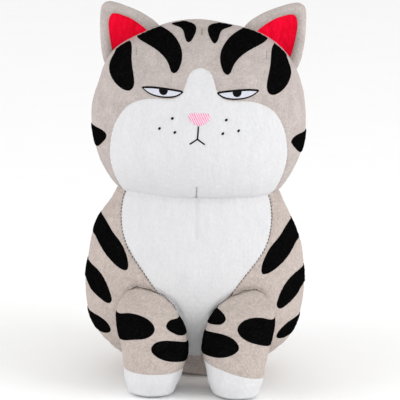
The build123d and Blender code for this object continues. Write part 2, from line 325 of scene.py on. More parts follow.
class WrapChart:
    """Turns places of the front view into an angle round a form and a height."""

    def __init__(self, form: StuffedForm) -> None:
        """Keeps the form that the places are on."""
        self.form = form

    def unroll(self, outline: Array) -> Array:
        """Front view x and z to angle and height; past the edge the outline runs on round the side."""
        mid_x, _, wide, _, _ = self.form.section(outline[:, 1])
        across = self.form.side * (outline[:, 0] - mid_x) / wide
        over = np.maximum(np.abs(across) - 1, 0)
        turn = np.arcsin(np.clip(across, -1, 1)) + np.sign(across) * over
        return np.stack([turn, outline[:, 1]], axis=-1)

    def skin(self, chart: Array) -> Array:
        """Points of the skin at angle and height."""
        return self.form.around(chart[..., 0], chart[..., 1])


class BackChart(WrapChart):
    """The same for an outline that is drawn on the back view."""

    def unroll(self, outline: Array) -> Array:
        """Back view x and z to an angle past 90 degrees and a height."""
        chart = super().unroll(outline)
        chart[:, 0] = np.pi - chart[:, 0]
        return chart


class FlatChart(WrapChart):
    """Leaves places of the front view as they are; only for places well inside the form's edge."""

    def unroll(self, outline: Array) -> Array:
        """Gives the outline back."""
        return np.asarray(outline, float)

    def skin(self, chart: Array) -> Array:
        """Points of the front skin at x and z."""
        return self.form.facing(chart[..., 0], chart[..., 1])


class FanChart(WrapChart):
    """Directions about the middle of the face, and a share of the way to the edge and beyond.

    A place is an angle round the face and an arc from its middle: 0 in the middle, 90 degrees on
    the edge of the head and up to 180 behind it. The distance from the middle is R sin(arc).
    """

    def __init__(self, form: StuffedForm, low: float) -> None:
        """Measures the distance R from the middle to the head's edge in each direction."""
        super().__init__(form)
        z = form.top - (form.top - low) * np.linspace(0, 1, 3000) ** 2
        z = z[::-1]
        wide = form.section(z)[2]
        wide[-1] = 0.0
        self.angle = np.arctan2(z - FACE_HEIGHT, wide)
        self.reach = np.hypot(wide, z - FACE_HEIGHT)

    def edge(self, direction: Array) -> Array:
        """R in each direction; the head is the same on both sides."""
        folded = np.where(np.abs(direction) > np.pi / 2, np.pi - direction, direction)
        folded = (folded + np.pi) % (2 * np.pi) - np.pi
        return np.interp(folded, self.angle, self.reach)

    def rim(self, direction: Array) -> Array:
        """Front view x and z of the head's edge in each direction."""
        reach = self.edge(direction)
        return np.stack([reach * np.cos(direction), FACE_HEIGHT + reach * np.sin(direction)], axis=-1)

    def unroll(self, outline: Array) -> Array:
        """Front view x and z to direction and arc; past the edge the outline runs on behind."""
        x, rise = outline[:, 0], outline[:, 1] - FACE_HEIGHT
        direction = np.arctan2(rise, x)
        direction = np.where(direction < -np.pi / 2, direction + 2 * np.pi, direction)
        share = np.hypot(x, rise) / self.edge(direction)
        arc = np.arcsin(np.clip(share, 0, 1)) + np.maximum(share - 1, 0)
        return np.stack([direction, arc], axis=-1)

    def skin(self, chart: Array) -> Array:
        """Points of the head at direction and arc."""
        direction, arc = chart[..., 0], chart[..., 1]
        reach = self.edge(direction) * np.sin(arc)
        x, z = reach * np.cos(direction), FACE_HEIGHT + reach * np.sin(direction)
        front, back = self.form.facing(x, z), self.form.facing(x, z, back=True)
        return np.where((arc > np.pi / 2)[..., None], back, front)


# ---- meshes


@dataclass
class Shell:
    """Corner points in mm and four-cornered faces.

    Attributes:
        points: One row of x, y, z per corner.
        faces: One row of four corner numbers per face.
    """

    points: Array
    faces: Array

    def __add__(self, other: "Shell") -> "Shell":
        """Both shells in one mesh."""
        points = np.concatenate([self.points, other.points])
        return Shell(points, np.concatenate([self.faces, other.faces + len(self.points)]))


def grid_faces(rows: int, columns: int, wrap: bool) -> Array:
    """Corner numbers of the faces of a grid, its last row joined to its first where it wraps."""
    i = np.arange(rows if wrap else rows - 1)[:, None]
    j = np.arange(columns - 1)[None]
    after = (i + 1) % rows
    corners = (i * columns + j, after * columns + j, after * columns + j + 1, i * columns + j + 1)
    return np.stack(np.broadcast_arrays(*corners), axis=-1).reshape(-1, 4)


def layered(outer: Array, inner: Array, wrap: bool = False, pole: bool = False) -> Shell:
    """Closes two grids of the same size into one solid sheet.

    Args:
        outer: Grid of points on the outside, rows by columns by 3.
        inner: The same grid on the inside.
        wrap: Whether the last row joins the first.
        pole: Whether the first column is a single point.

    Returns:
        The closed shell, its faces turned outwards.
    """
    rows, columns = outer.shape[:2]
    faces = grid_faces(rows, columns, wrap)
    points = np.concatenate([outer.reshape(-1, 3), inner.reshape(-1, 3)])
    a, b, c, d = (outer.reshape(-1, 3)[faces[:, k]] for k in range(4))
    thick = (outer - inner).reshape(-1, 3)[faces[:, 0]]
    turned = bool((np.cross(c - a, d - b) * thick).sum() < 0)
    if turned:
        faces = faces[:, ::-1]
    total = rows * columns
    index = np.arange(total).reshape(rows, columns)
    borders = [(index[:, -1], False)] + ([] if pole else [(index[:, 0], True)])
    joins = [(line, np.roll(line, -1), flip) if wrap else (line[:-1], line[1:], flip) for line, flip in borders]
    if not wrap:
        joins += [(index[0, :-1], index[0, 1:], False), (index[-1, :-1], index[-1, 1:], True)]
    parts = [faces, faces[:, ::-1] + total]
    for here, after, flip in joins:
        rim = np.stack([here, here + total, after + total, after], axis=-1)
        parts.append(rim[:, ::-1] if flip == turned else rim)
    return Shell(points, np.concatenate(parts))


def joined(shells: Iterable[Shell]) -> Shell:
    """All the shells in one mesh."""
    return reduce(Shell.__add__, shells)


def backed(outer: Array, normals: Array, wrap: bool = False, pole: bool = False) -> Shell:
    """Plush with its backing, below a grid of points of its outside."""
    return layered(outer, outer - normals * FABRIC, wrap, pole)


def soled(form: StuffedForm, wall: Array, rings: int, middle: Optional[Array] = None) -> Shell:
    """Plush from a seam down a rounded bottom that is pressed flat, and on to the middle of the sole.

    Args:
        form: The form that the wall is on.
        wall: Grid of bare skin points, each row running down from the seam.
        rings: How many steps the flat sole takes to its middle.
        middle: The sole's middle, or nothing for the middle of its rim.

    Returns:
        The closed shell.
    """
    outer, normals = form.dressed(wall)
    outer[..., 2] = np.maximum(outer[..., 2], 0.0)
    rim = outer[:, -1:]
    centre = rim.mean(axis=0, keepdims=True) if middle is None else middle
    flat = centre + (rim - centre) * np.linspace(1, 0, rings)[None, 1:, None]
    down = np.broadcast_to(FLOOR_NORMAL, flat.shape)
    grid, turned = (np.concatenate(pair, axis=1)[:, ::-1] for pair in ((outer, flat), (normals, down)))
    return backed(grid, turned, wrap=True, pole=True)


def capped(outer: Array) -> Shell:
    """Faces of a closed bag whose grid wraps and whose first and last columns are single points."""
    rows, columns = outer.shape[:2]
    faces = grid_faces(rows, columns, True)
    points = outer.reshape(-1, 3)
    a, b, c, d = (points[faces[:, k]] for k in range(4))
    away = a - points.mean(axis=0)
    if (np.cross(c - a, d - b) * away).sum() < 0:
        faces = faces[:, ::-1]
    return Shell(points, faces)


def star_grid(outline: Array, middle: Array, rings: int) -> tuple[Array, Array]:
    """Fills a closed outline with copies of it that shrink to a middle point.

    Args:
        outline: Closed line, rows of two numbers.
        middle: The point they shrink to.
        rings: How many copies.

    Returns:
        The grid, and each ring's share of the way to the outline.
    """
    share = np.linspace(0, 1, rings) ** 0.85
    grid = middle + (outline[:, None] - middle) * share[None, :, None]
    return grid, np.broadcast_to(share, grid.shape[:2])


def ribbon_grid(upper: Array, lower: Array, rows: int) -> tuple[Array, Array]:
    """Fills the space between two lines that share their ends; the share is 1 on both lines."""
    across = 0.5 - 0.5 * np.cos(np.linspace(0, np.pi, rows))
    grid = upper[:, None] + (lower - upper)[:, None] * across[None, :, None]
    return grid, np.broadcast_to(np.abs(2 * across - 1), grid.shape[:2])


def appliqued(
    chart: WrapChart,
    grid: Array,
    share: Array,
    rise: float,
    wrap: bool,
    ridges: Optional[Callable[[Array], Array]] = None,
) -> Shell:
    """Lays a felt mark or a field of stitches on a form, with its edge rounded down into the pile.

    Args:
        chart: Turns the grid into places on the form.
        grid: Places in the chart, rows by columns by 2.
        share: 0 in the middle and 1 on the edge; the height is rise times the root of 1 - share^12.
        rise: Height above the plush.
        wrap: Whether the last row joins the first.
        ridges: Extra height of the threads at each point of the skin.

    Returns:
        The closed shell.
    """
    skin = chart.skin(grid)
    height = rise * np.sqrt(np.maximum(1 - share**12, 0)) - 0.25 * share**12
    if ridges is not None:
        height = height + ridges(skin) * (1 - share**6)
    top, normals = chart.form.dressed(skin, height)
    under = top - normals * (height + 0.9)[..., None]
    return layered(top, under, wrap=wrap, pole=wrap)


def star_mark(chart: WrapChart, points: Pairs, side: float, count: int, rings: int) -> Shell:
    """A felt mark inside a closed outline of the front view, drawn for the left side."""
    outline = chart.unroll(drawn(points, count, closed=True) * (side, 1))
    grid, share = star_grid(outline, outline.mean(axis=0), rings)
    return appliqued(chart, grid, share, FELT_RISE, wrap=True)


def ribbon_mark(chart: WrapChart, upper: Array, lower: Array, rows: int) -> Shell:
    """A felt mark between two lines that meet at its tips."""
    grid, share = ribbon_grid(chart.unroll(upper), chart.unroll(lower), rows)
    return appliqued(chart, grid, share, FELT_RISE, wrap=False)


@dataclass(frozen=True)
class Stitch:
    """A kind of sewing stitch.

    Attributes:
        long: Length of one stitch.
        thick: Radius of the thread.
        pitch: Distance from one stitch to the next.
        slant: Turn of each stitch from the seam's direction, in degrees.
    """

    long: float
    thick: float
    pitch: float
    slant: float


DART_STITCH = Stitch(1.7, 0.22, 1.9, 6.0)
BELLY_STITCH = Stitch(2.3, 0.42, 3.4, 24.0)
CLOSING_STITCH = Stitch(3.6, 0.42, 4.6, 78.0)
LEG_STITCH = Stitch(1.9, 0.42, 2.8, 20.0)


def stitched(path: Array, up: Array, stitch: Stitch, side: float = 1.0) -> Shell:
    """Lays a row of short stitches along a path, each a round thread that dives at both ends.

    Args:
        path: Places along the seam.
        up: Normal of the fabric at each place.
        stitch: The kind of stitch.
        side: -1 to slant the stitches the other way.

    Returns:
        All stitches of the row in one shell.
    """
    count = max(int(lengths(path)[-1] / stitch.pitch), 2)
    spots, normals = resampled(path, count), unit(resampled(up, count))
    ahead = unit(np.gradient(spots, axis=0))
    beside = np.cross(normals, ahead)
    turn = np.radians(stitch.slant * side)
    ahead, beside = (
        ahead * np.cos(turn) + beside * np.sin(turn),
        beside * np.cos(turn) - ahead * np.sin(turn),
    )
    stations = np.linspace(-1, 1, 6)
    ring = np.linspace(0, 2 * np.pi, 6, endpoint=False)
    body = np.sqrt(np.maximum(1 - stations**4, 0.0))
    along = (stations * stitch.long / 2)[None, :] + 0 * ring[:, None]
    out = stitch.thick * (body[None] * np.sin(ring)[:, None] + 0.5 * (1 - stations**2)[None])
    over = stitch.thick * body[None] * np.cos(ring)[:, None]
    shape = (
        spots[:, None, None]
        + ahead[:, None, None] * along[None, ..., None]
        + normals[:, None, None] * out[None, ..., None]
        + beside[:, None, None] * over[None, ..., None]
    )
    one = grid_faces(len(ring), len(stations), True)
    if (np.cross(normals[0], ahead[0]) * beside[0]).sum() > 0:
        one = one[:, ::-1]
    faces = (one[None] + (np.arange(count) * len(ring) * len(stations))[:, None, None]).reshape(-1, 4)
    return Shell(shape.reshape(-1, 3), faces)


# ---- finishes


class Board:
    """A node tree that is being wired."""

    def __init__(self, tree: bpy.types.NodeTree) -> None:
        """Keeps the tree."""
        self.tree = tree

    def add(self, kind: str, inputs: Optional[dict] = None, **settings) -> bpy.types.Node:
        """Adds a node.

        Args:
            kind: Blender's name for the node.
            inputs: Socket name or number to a value, or to the output socket that feeds it.
            **settings: Properties of the node itself.

        Returns:
            The node.
        """
        node = self.tree.nodes.new(kind)
        for name, value in settings.items():
            setattr(node, name, value)
        self.feed(node, inputs or {})
        return node

    def feed(self, node: bpy.types.Node, inputs: dict) -> None:
        """Gives a node's sockets their values, or the output sockets that feed them."""
        for name, value in inputs.items():
            if isinstance(value, bpy.types.NodeSocket):
                self.tree.links.new(value, node.inputs[name])
            else:
                node.inputs[name].default_value = value

    def maths(self, operation: str, first: object, second: object = 0.0) -> bpy.types.NodeSocket:
        """One arithmetic step; gives its output."""
        return self.add("ShaderNodeMath", {0: first, 1: second}, operation=operation).outputs[0]

    def noise(self, place: bpy.types.NodeSocket, scale: object, **inputs) -> bpy.types.NodeSocket:
        """Cloudy noise; gives its strength."""
        return self.add("ShaderNodeTexNoise", {"Vector": place, "Scale": scale, **inputs}).outputs["Fac"]

    def blend(self, factor: object, first: object, second: object) -> bpy.types.NodeSocket:
        """Mixes two colours; gives the mixed colour."""
        inputs = {0: factor, 6: first, 7: second}
        return self.add("ShaderNodeMix", inputs, data_type="RGBA").outputs[2]

    def window(self, value: object, low: float, high: float) -> bpy.types.NodeSocket:
        """Stretches low..high to 0..1 and cuts off the rest."""
        inputs = {"Value": value, "From Min": low, "From Max": high}
        return self.add("ShaderNodeMapRange", inputs, clamp=True).outputs[0]


def new_group(name: str, inputs: dict, outputs: dict) -> tuple[Board, bpy.types.Node, bpy.types.Node]:
    """Starts a shader node group.

    Args:
        name: The group's name.
        inputs: Socket name to its kind and first value.
        outputs: Socket name to its kind.

    Returns:
        Its board, its input node and its output node.
    """
    tree = bpy.data.node_groups.new(name, "ShaderNodeTree")
    for label, (kind, value) in inputs.items():
        socket = tree.interface.new_socket(label, in_out="INPUT", socket_type=kind)
        if value is not None:
            socket.default_value = value
    for label, kind in outputs.items():
        tree.interface.new_socket(label, in_out="OUTPUT", socket_type=kind)
    board = Board(tree)
    return board, board.add("NodeGroupInput"), board.add("NodeGroupOutput")


COLOUR, NUMBER, ARROW = "NodeSocketColor", "NodeSocketFloat", "NodeSocketVector"


def plush_group() -> bpy.types.NodeTree:
    """Builds the nap of plush: random tone with painted light in it, tufts painted lighter at their tips and painted
    shade deep in the pile, on slow patches of brushed pile painted lighter and darker.

    Returns:
        A group that turns a place into a colour and a height.
    """
    board, given, out = new_group(
        "plush nap",
        {
            "Vector": (ARROW, None),
            "Root shade": (COLOUR, (0.4, 0.4, 0.4, 1)),
            "Tip": (COLOUR, (0.8, 0.8, 0.8, 1)),
            "Tufts": (NUMBER, 700.0),
            "Patches": (NUMBER, 70.0),
            "Patchiness": (NUMBER, 0.4),
            "Flecks": (NUMBER, 0.0),
        },
        {"Color": COLOUR, "Height": NUMBER},
    )
    place = given.outputs["Vector"]
    tufts = board.noise(place, given.outputs["Tufts"], Detail=4.0, Roughness=0.62)
    patches = board.noise(place, given.outputs["Patches"], Detail=3.0, Roughness=0.55, Distortion=0.6)
    tuft_light = board.window(tufts, 0.32, 0.7)
    patch_light = board.window(patches, 0.3, 0.72)
    share = board.maths("MULTIPLY", patch_light, given.outputs["Patchiness"])
    rest = board.maths("SUBTRACT", 1.0, given.outputs["Patchiness"])
    light = board.maths("ADD", share, board.maths("MULTIPLY", tuft_light, rest))
    # Partly random tone, partly painted light: lighter where the tufts and patches stand high, painted shade where the
    # pile is low.
    colour = board.blend(light, given.outputs["Root shade"], given.outputs["Tip"])
    fleck = board.noise(place, 1100.0, Detail=1.0)
    fleck = board.maths("MULTIPLY", board.window(fleck, 0.66, 0.74), given.outputs["Flecks"])
    colour = board.blend(fleck, colour, (0.32, 0.3, 0.3, 1))
    height = board.maths("ADD", tufts, board.maths("MULTIPLY", patches, 0.5))
    board.feed(out, {"Color": colour, "Height": height})
    return board.tree


def thread_group() -> bpy.types.NodeTree:
    """Builds satin stitches: fine parallel threads, painted shade in the valleys between them and lighter on their
    crowns, with a little random tone.

    Returns:
        A group that turns a place into a colour and a height.
    """
    board, given, out = new_group(
        "satin threads",
        {
            "Vector": (ARROW, None),
            "Valley shade": (COLOUR, (0.4, 0.4, 0.4, 1)),
            "Crown": (COLOUR, (0.8, 0.8, 0.8, 1)),
            "Threads": (NUMBER, 340.0),
        },
        {"Color": COLOUR, "Height": NUMBER},
    )
    place = given.outputs["Vector"]
    weave = {"Vector": place, "Scale": given.outputs["Threads"], "Distortion": 1.6, "Detail": 2.0, "Detail Scale": 2.0}
    bands = board.add("ShaderNodeTexWave", weave, wave_type="BANDS", bands_direction="X").outputs["Fac"]
    mixed = board.noise(place, 520.0, Detail=2.0)
    light = board.maths("ADD", board.maths("MULTIPLY", bands, 0.65), board.maths("MULTIPLY", mixed, 0.35))
    # Painted shade: the valleys between the threads are darker and their crowns lighter, on the same bands as the bump.
    colour = board.blend(board.window(light, 0.2, 0.8), given.outputs["Valley shade"], given.outputs["Crown"])
    board.feed(out, {"Color": colour, "Height": bands})
    return board.tree


Rgb = tuple[float, float, float]


def opaque(colour: Rgb) -> tuple[float, float, float, float]:
    """A colour with full alpha."""
    return (*colour, 1)


def cloth(
    name: str, shown: Rgb, group: bpy.types.NodeTree, mapping: dict, pattern: dict, bump: dict, shading: dict
) -> bpy.types.Material:
    """Wires a pattern of cloth or thread into a shader.

    Args:
        name: The material's name.
        shown: Colour in the plain view.
        group: The pattern's node group.
        mapping: How the pattern is turned and stretched.
        pattern: Values of the group's sockets.
        bump: Values of the bump's sockets.
        shading: Values of the shader's own sockets.

    Returns:
        The material.
    """
    material = bpy.data.materials.new(name)
    material.use_nodes = True
    material.diffuse_color = opaque(shown)
    board = Board(material.node_tree)
    place = board.add("ShaderNodeTexCoord").outputs["Object"]
    turned = board.add("ShaderNodeMapping", {"Vector": place, **mapping}).outputs[0]
    weave = board.add("ShaderNodeGroup", {"Vector": turned, **pattern}, node_tree=group).outputs
    normal = board.add("ShaderNodeBump", {"Height": weave["Height"], **bump}).outputs["Normal"]
    shader = material.node_tree.nodes["Principled BSDF"]
    board.feed(shader, {"Base Color": weave["Color"], "Normal": normal, **shading})
    return material


@dataclass(frozen=True)
class Plush:
    """Short-pile plush, brushed lining, felt or loose fibre.

    Attributes:
        name: The material's name.
        slot: The record's material slot.
        root: Colour deep in the pile, darkened as painted shade.
        tip: Colour at the tips.
        tufts: Tufts per metre.
        patches: Brushed patches per metre.
        patchiness: How much the patches count beside the tufts.
        nap: Stretch of the pattern along each axis; below 1 draws it out.
        lean: Turn of the pattern about each axis, in degrees.
        sheen: Weight of the soft edge light.
        bump: Depth of the nap, in metres.
        flecks: Strength of light lint.
        shine: Specular level.
    """

    name: str
    slot: str
    root: Rgb
    tip: Rgb
    tufts: float = 620.0
    patches: float = 90.0
    patchiness: float = 0.35
    nap: Rgb = (1.0, 1.0, 1.0)
    lean: Rgb = (0.0, 0.0, 0.0)
    sheen: float = 0.25
    bump: float = 0.0006
    flecks: float = 0.0
    shine: float = 0.1

    def material(self, group: bpy.types.NodeTree) -> bpy.types.Material:
        """A rough shader with the nap group."""
        mapping = {"Rotation": tuple(np.radians(self.lean)), "Scale": self.nap}
        pattern = {
            "Root shade": opaque(self.root), "Tip": opaque(self.tip), "Tufts": self.tufts,
            "Patches": self.patches, "Patchiness": self.patchiness, "Flecks": self.flecks,
        }
        shading = {
            "Roughness": 0.92, "Specular IOR Level": self.shine,
            "Sheen Weight": self.sheen, "Sheen Roughness": 0.45, "Sheen Tint": opaque(self.tip),
        }
        bump = {"Distance": self.bump, "Strength": 0.8}
        return cloth(self.name, self.tip, group, mapping, pattern, bump, shading)


@dataclass(frozen=True)
class Thread:
    """Embroidery or sewing thread.

    Attributes:
        name: The material's name.
        slot: The record's material slot.
        valley: Colour between threads, as painted shade.
        crown: Colour on top of them.
        lean: Turn of the threads from upright, in degrees.
        threads: Threads per metre, as the wave's scale.
        gloss: Roughness of the thread.
        shine: Specular level.
    """

    name: str
    slot: str
    valley: Rgb
    crown: Rgb
    lean: float = 0.0
    threads: float = 340.0
    gloss: float = 0.42
    shine: float = 0.2

    def material(self, group: bpy.types.NodeTree) -> bpy.types.Material:
        """A shader with the thread group and a little silk shine."""
        mapping = {"Rotation": (0.0, float(np.radians(self.lean)), 0.0)}
        pattern = {"Valley shade": opaque(self.valley), "Crown": opaque(self.crown), "Threads": self.threads}
        shading = {"Roughness": self.gloss, "Specular IOR Level": self.shine}
        return cloth(self.name, self.crown, group, mapping, pattern, {"Distance": 0.0002}, shading)


class Finish(Enum):
    """Every finish of the toy, by the piece of cloth or thread it is cut from."""

    # Each plush's first colour is painted shade deep in its pile and its second the colour of its tips; each thread's
    # first colour is painted shade between its threads.
    BEIGE = Plush("beige plush", "beige_plush", (0.325, 0.281, 0.265), (0.535, 0.479, 0.456))
    BEIGE_LOW = Plush(
        "beige plush, brushed down", "beige_plush", (0.335, 0.286, 0.26), (0.545, 0.475, 0.44), 480.0, 120.0, 0.3
    )
    WHITE = Plush(
        "white plush", "white_plush", (0.56, 0.56, 0.57), (0.645, 0.645, 0.656), 760.0, 110.0, 0.4, (1.0, 1.0, 0.28),
        bump=0.0004,
    )
    RED = Plush(
        "red brushed plush", "red_plush", (0.66, 0.0, 0.010), (1.0, 0.002, 0.045), 420.0, 60.0, 0.4,
        (1.0, 1.0, 0.35), (0.0, 18.0, 0.0), bump=0.0012,
    )
    BLACK = Plush(
        "black felt", "black_felt", (0.0008, 0.0008, 0.001), (0.004, 0.0038, 0.004), 640.0, 80.0, 0.3,
        sheen=0.0, bump=0.0004, flecks=0.05, shine=0.0,
    )
    FIBRE = Plush(
        "loose polyester fibre", "fibre_fill", (0.75, 0.75, 0.74), (0.95, 0.95, 0.94), 260.0, 40.0, 0.5, bump=0.0015
    )
    DARK_THREAD = Thread(
        "black satin thread", "black_thread", (0.001, 0.001, 0.0015), (0.005, 0.005, 0.006), shine=0.04
    )
    WHITE_THREAD = Thread("white satin thread", "white_thread", (0.42, 0.43, 0.50), (0.76, 0.77, 0.85))
    PINK_THREAD = Thread(
        "pink satin thread", "pink_thread", (0.60, 0.22, 0.34), (0.93, 0.60, 0.71), lean=28.0, threads=170.0
    )
    # Painted shade: this sewing thread is coloured dark brown, so that its stitches also stand for the shade in the
    # seams' dips and puckers.
    SEAM_SHADE_THREAD = Thread("dark sewing thread, partly painted seam shade", "beige_thread", (0.04, 0.03, 0.025), (0.14, 0.11, 0.09), shine=0.05)


class Workroom:
    """Turns shells into finished pieces: mesh, material and body, and hides the CAD parts they replace."""

    def __init__(self) -> None:
        """Builds the shared groups and one material per finish."""
        plush, thread = plush_group(), thread_group()
        self.materials = {
            finish: finish.value.material(plush if isinstance(finish.value, Plush) else thread)
            for finish in Finish
        }

    def finish(
        self,
        name: str,
        shell: Shell,
        finish: Finish,
        hold: "Hold",
        stands_for: Sequence[str] = (),
        fill: Optional[float] = None,
    ) -> bpy.types.Object:
        """Makes one piece of the toy.

        Args:
            name: The piece's name.
            shell: Its shape in mm.
            finish: What it is made of.
            hold: How it moves.
            stands_for: CAD nodes that it replaces.
            fill: How full it is stuffed, for a padded piece; not used.

        Returns:
            The finished object.
        """
        mesh = bpy.data.meshes.new(name)
        mesh.vertices.add(len(shell.points))
        mesh.vertices.foreach_set("co", (shell.points * MM).astype(np.float32).ravel())
        mesh.loops.add(shell.faces.size)
        mesh.loops.foreach_set("vertex_index", shell.faces.astype(np.int32).ravel())
        mesh.polygons.add(len(shell.faces))
        mesh.polygons.foreach_set("loop_start", np.arange(0, shell.faces.size, 4, dtype=np.int32))
        mesh.polygons.foreach_set("loop_total", np.full(len(shell.faces), 4, dtype=np.int32))
        mesh.update(calc_edges=True)
        work = bmesh.new()
        work.from_mesh(mesh)
        bmesh.ops.remove_doubles(work, verts=work.verts, dist=2e-6)
        work.to_mesh(mesh)
        work.free()
        mesh.validate()
        mesh.shade_smooth()
        mesh.set_sharp_from_angle(angle=np.radians(62.0))
        piece = bpy.data.objects.new(name, mesh)
        bpy.context.scene.collection.objects.link(piece)
        mesh.materials.append(self.materials[finish])
        hold.fasten(piece)
        if stands_for:
            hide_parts(*stands_for)
        log.info("%s: %d faces, %s", name, len(mesh.polygons), finish.value.name)
        return piece


@dataclass(frozen=True)
class Hold:
    """How a piece moves: with one body, or, when a second body is given, baked in place without bending.

    Attributes:
        body: The body it rides on, when it has no second body.
        other: A second body, or nothing; a piece that names one is baked in place and rides on no body.
        start: Where the bend begins, in mm; not used.
        end: Where it is complete; not used.
    """

    body: str
    other: str = ""
    start: tuple = ()
    end: tuple = ()

    def fasten(self, piece: bpy.types.Object) -> None:
        """Parents the piece to its body, or bakes its place into its mesh when it has a second body."""
        if self.other:
            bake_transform(piece)
        else:
            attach(piece, self.body)


NECK = Hold("torso", "head", (0, 0, 148), (0, 0, 202))
HEAD = Hold("head")
TORSO = Hold("torso")


def bag_grid(form: StuffedForm, inset: float, low: float, high: float, turns: int, rows: int) -> Array:
    """The bag of stuffing inside a form: its skin moved in, closed at both ends by shrinking caps."""
    turn = full_turn(turns)[:, None]
    z = low + (high - low) * (0.5 - 0.5 * np.cos(np.linspace(0, np.pi, rows)))
    wall = form.around(turn, z[None])
    wall = wall - form.outward(wall) * inset
    middle = form.section(z[[0, -1]])
    caps = []
    for end, ratios in ((0, (0.0, 0.35, 0.7)), (-1, (0.7, 0.35, 0.0))):
        centre = np.array([middle[0][end], middle[1][end], z[end]])
        ring = wall[:, end][:, None]
        caps.append(centre + (ring - centre) * np.array(ratios)[None, :, None])
    grid = np.concatenate([caps[0], wall, caps[1]], axis=1)
    return grid + Unevenness(21, 11.0, 0.25).at(grid)[..., None] * np.array([0.5, 0.5, 0.0])


# ---- the head


@dataclass
class Head:
    """The head: face, muzzle and back panels, tabby marks and embroidery.

    Attributes:
        sections: The stuffed form's table.
        muzzle: Outline of the white muzzle and blaze, from its top down the left side.
        crown: Outline of the left mark at the top.
        forehead_out: Outer edge of the left forehead mark.
        forehead_in: Its inner edge.
        temple: Outline of the left temple mark.
        cheek: Outline of the left cheek mark.
    """

    sections: tuple = (
        (175, 0, 0, 75.5, 50, 44), (186, 0, 0, 83.5, 60, 51), (196, 0, 0, 89.0, 66, 56),
        (211, 0, 0, 94.5, 71, 60), (231, 0, 0, 98.6, 73, 63), (243, 0, 0, 99.3, 72.5, 63),
        (260, 0, 0, 97.6, 70, 62), (277, 0, 0, 93.2, 65, 58), (293, 0, 0, 87.0, 57, 52),
        (307, 0, 0, 75.6, 47, 43), (317, 0, 0, 61.0, 36, 34), (326.4, 0, 0, 40.0, 22, 21),
        (331, 0, 0, 20.0, 11, 10), (332.7, 0, 0, 0.5, 0.3, 0.3),
    )
    muzzle: tuple = (
        (0, 300.5), (8.5, 297), (12.5, 290), (15, 282), (21, 274.5), (33, 272), (47, 271),
        (58, 267.5), (68, 260.5), (75.5, 249), (80.3, 236), (82, 219), (80.5, 204), (76, 188), (69, 173.6),
    )
    crown: tuple = (
        (28.5, 329.5), (21, 331.1), (12, 331.7), (5.5, 330), (6, 325.4), (9.4, 320.2), (12, 318.7),
        (14.6, 320.6), (17, 326.3), (21, 328.7),
    )
    forehead_out: tuple = (
        (60.5, 317.5), (49.5, 325.2), (38, 327.2), (26.5, 323.8), (18.8, 315), (17.4, 308), (19, 301), (22, 296),
        (24.6, 294.6),
    )
    forehead_in: tuple = (
        (60.5, 317.5), (52.5, 315.4), (44.5, 313), (37.2, 309.4), (31.6, 304.4), (28.8, 299.4), (27, 295.8),
        (24.6, 294.6),
    )
    temple: tuple = (
        (65.6, 313.4), (63.6, 303), (61.6, 290), (61.4, 279), (65.6, 275), (74.4, 276.8), (82, 284),
        (84, 291.6), (80.4, 301), (73.6, 310),
    )
    cheek: tuple = (
        (104, 232.4), (98.6, 234), (92.4, 234.4), (87.2, 233), (85, 229.6), (86.6, 225), (90.6, 218.4), (96, 211.4),
        (102, 209.5), (105.4, 215), (105.6, 224),
    )

    def __post_init__(self) -> None:
        """Shapes the form, then sews its seams in."""
        self.form = StuffedForm(self.sections, lumps=Unevenness(3, 52.0, 0.5))
        low = NECK_Z - NECK_LAP
        self.fan = FanChart(self.form, low)
        self.flat = FlatChart(self.form)
        right = drawn(self.muzzle, 330)
        self.muzzle_line = np.concatenate([right[::-1], right[1:] * (-1, 1)])
        edge_angle = np.linspace(self.fan.angle[0], np.pi - self.fan.angle[0], 400)
        edge = self.fan.skin(np.stack([edge_angle, np.full(400, np.pi / 2)], axis=-1))
        outline = self.form.facing(self.muzzle_line[:, 0], self.muzzle_line[:, 1])
        chin = self.form.upright(175.5, 188.5, 20, -0.6)
        crown = self.form.upright(325.5, 329.0, 12)
        temples = [self.form.upright(306.5, 310.8, 12, side * 60.0) for side in (1, -1)]
        self.darts = [chin, crown, *temples]
        self.form.seams = [
            Seam(outline, 0.75, 1.5, 0.25, 5.2),
            Seam(edge, 0.7, 2.2, 0.4, 5.6),
            Seam(self.form.ring(NECK_Z, 360), 1.1, 3.0, 0.3, 6.0),
            Seam(chin, 1.7, 1.4, 0.1),
            Seam(crown, 1.2, 1.5, 0.0),
            Seam(self.form.upright(176.0, 328.0, 160, back=True), 0.7, 1.9, 0.35),
            *(Seam(temple, 1.2, 1.5, 0.0) for temple in temples),
        ]

    def muzzle_shell(self) -> Shell:
        """The muzzle: rings from the middle of the face out to its outline and the neck."""
        line = resampled(self.muzzle_line, 420)
        low_z = line[0, 1]
        base_x = np.linspace(line[-1, 0], line[0, 0], 92)[1:-1]
        outline = np.concatenate([line, np.stack([base_x, np.full(90, low_z)], axis=1)])
        grid, _ = star_grid(outline, np.array([0.0, FACE_HEIGHT]), 86)
        return backed(*self.form.dressed(self.form.facing(grid[..., 0], grid[..., 1])), wrap=True, pole=True)

    def face_shell(self) -> Shell:
        """The face: lines from the muzzle's outline to the head's edge, closer together near the edge."""
        inner = resampled(self.muzzle_line, 430)
        low = self.fan.angle[0]
        along = np.arctan2(inner[:, 1] - FACE_HEIGHT, inner[:, 0])
        along = np.where(along < -np.pi / 2, along + 2 * np.pi, along)
        share = (along - along[0]) / (along[-1] - along[0])
        direction = low + share * (np.pi - 2 * low)
        outer = self.fan.rim(direction)
        ease = np.sin(np.linspace(0, np.pi / 2, 78))
        grid = inner[:, None] + (outer - inner)[:, None] * ease[None, :, None]
        skin = self.form.facing(grid[..., 0], grid[..., 1])
        skin[:, -1, 1] = 0.0
        return backed(*self.form.dressed(skin))

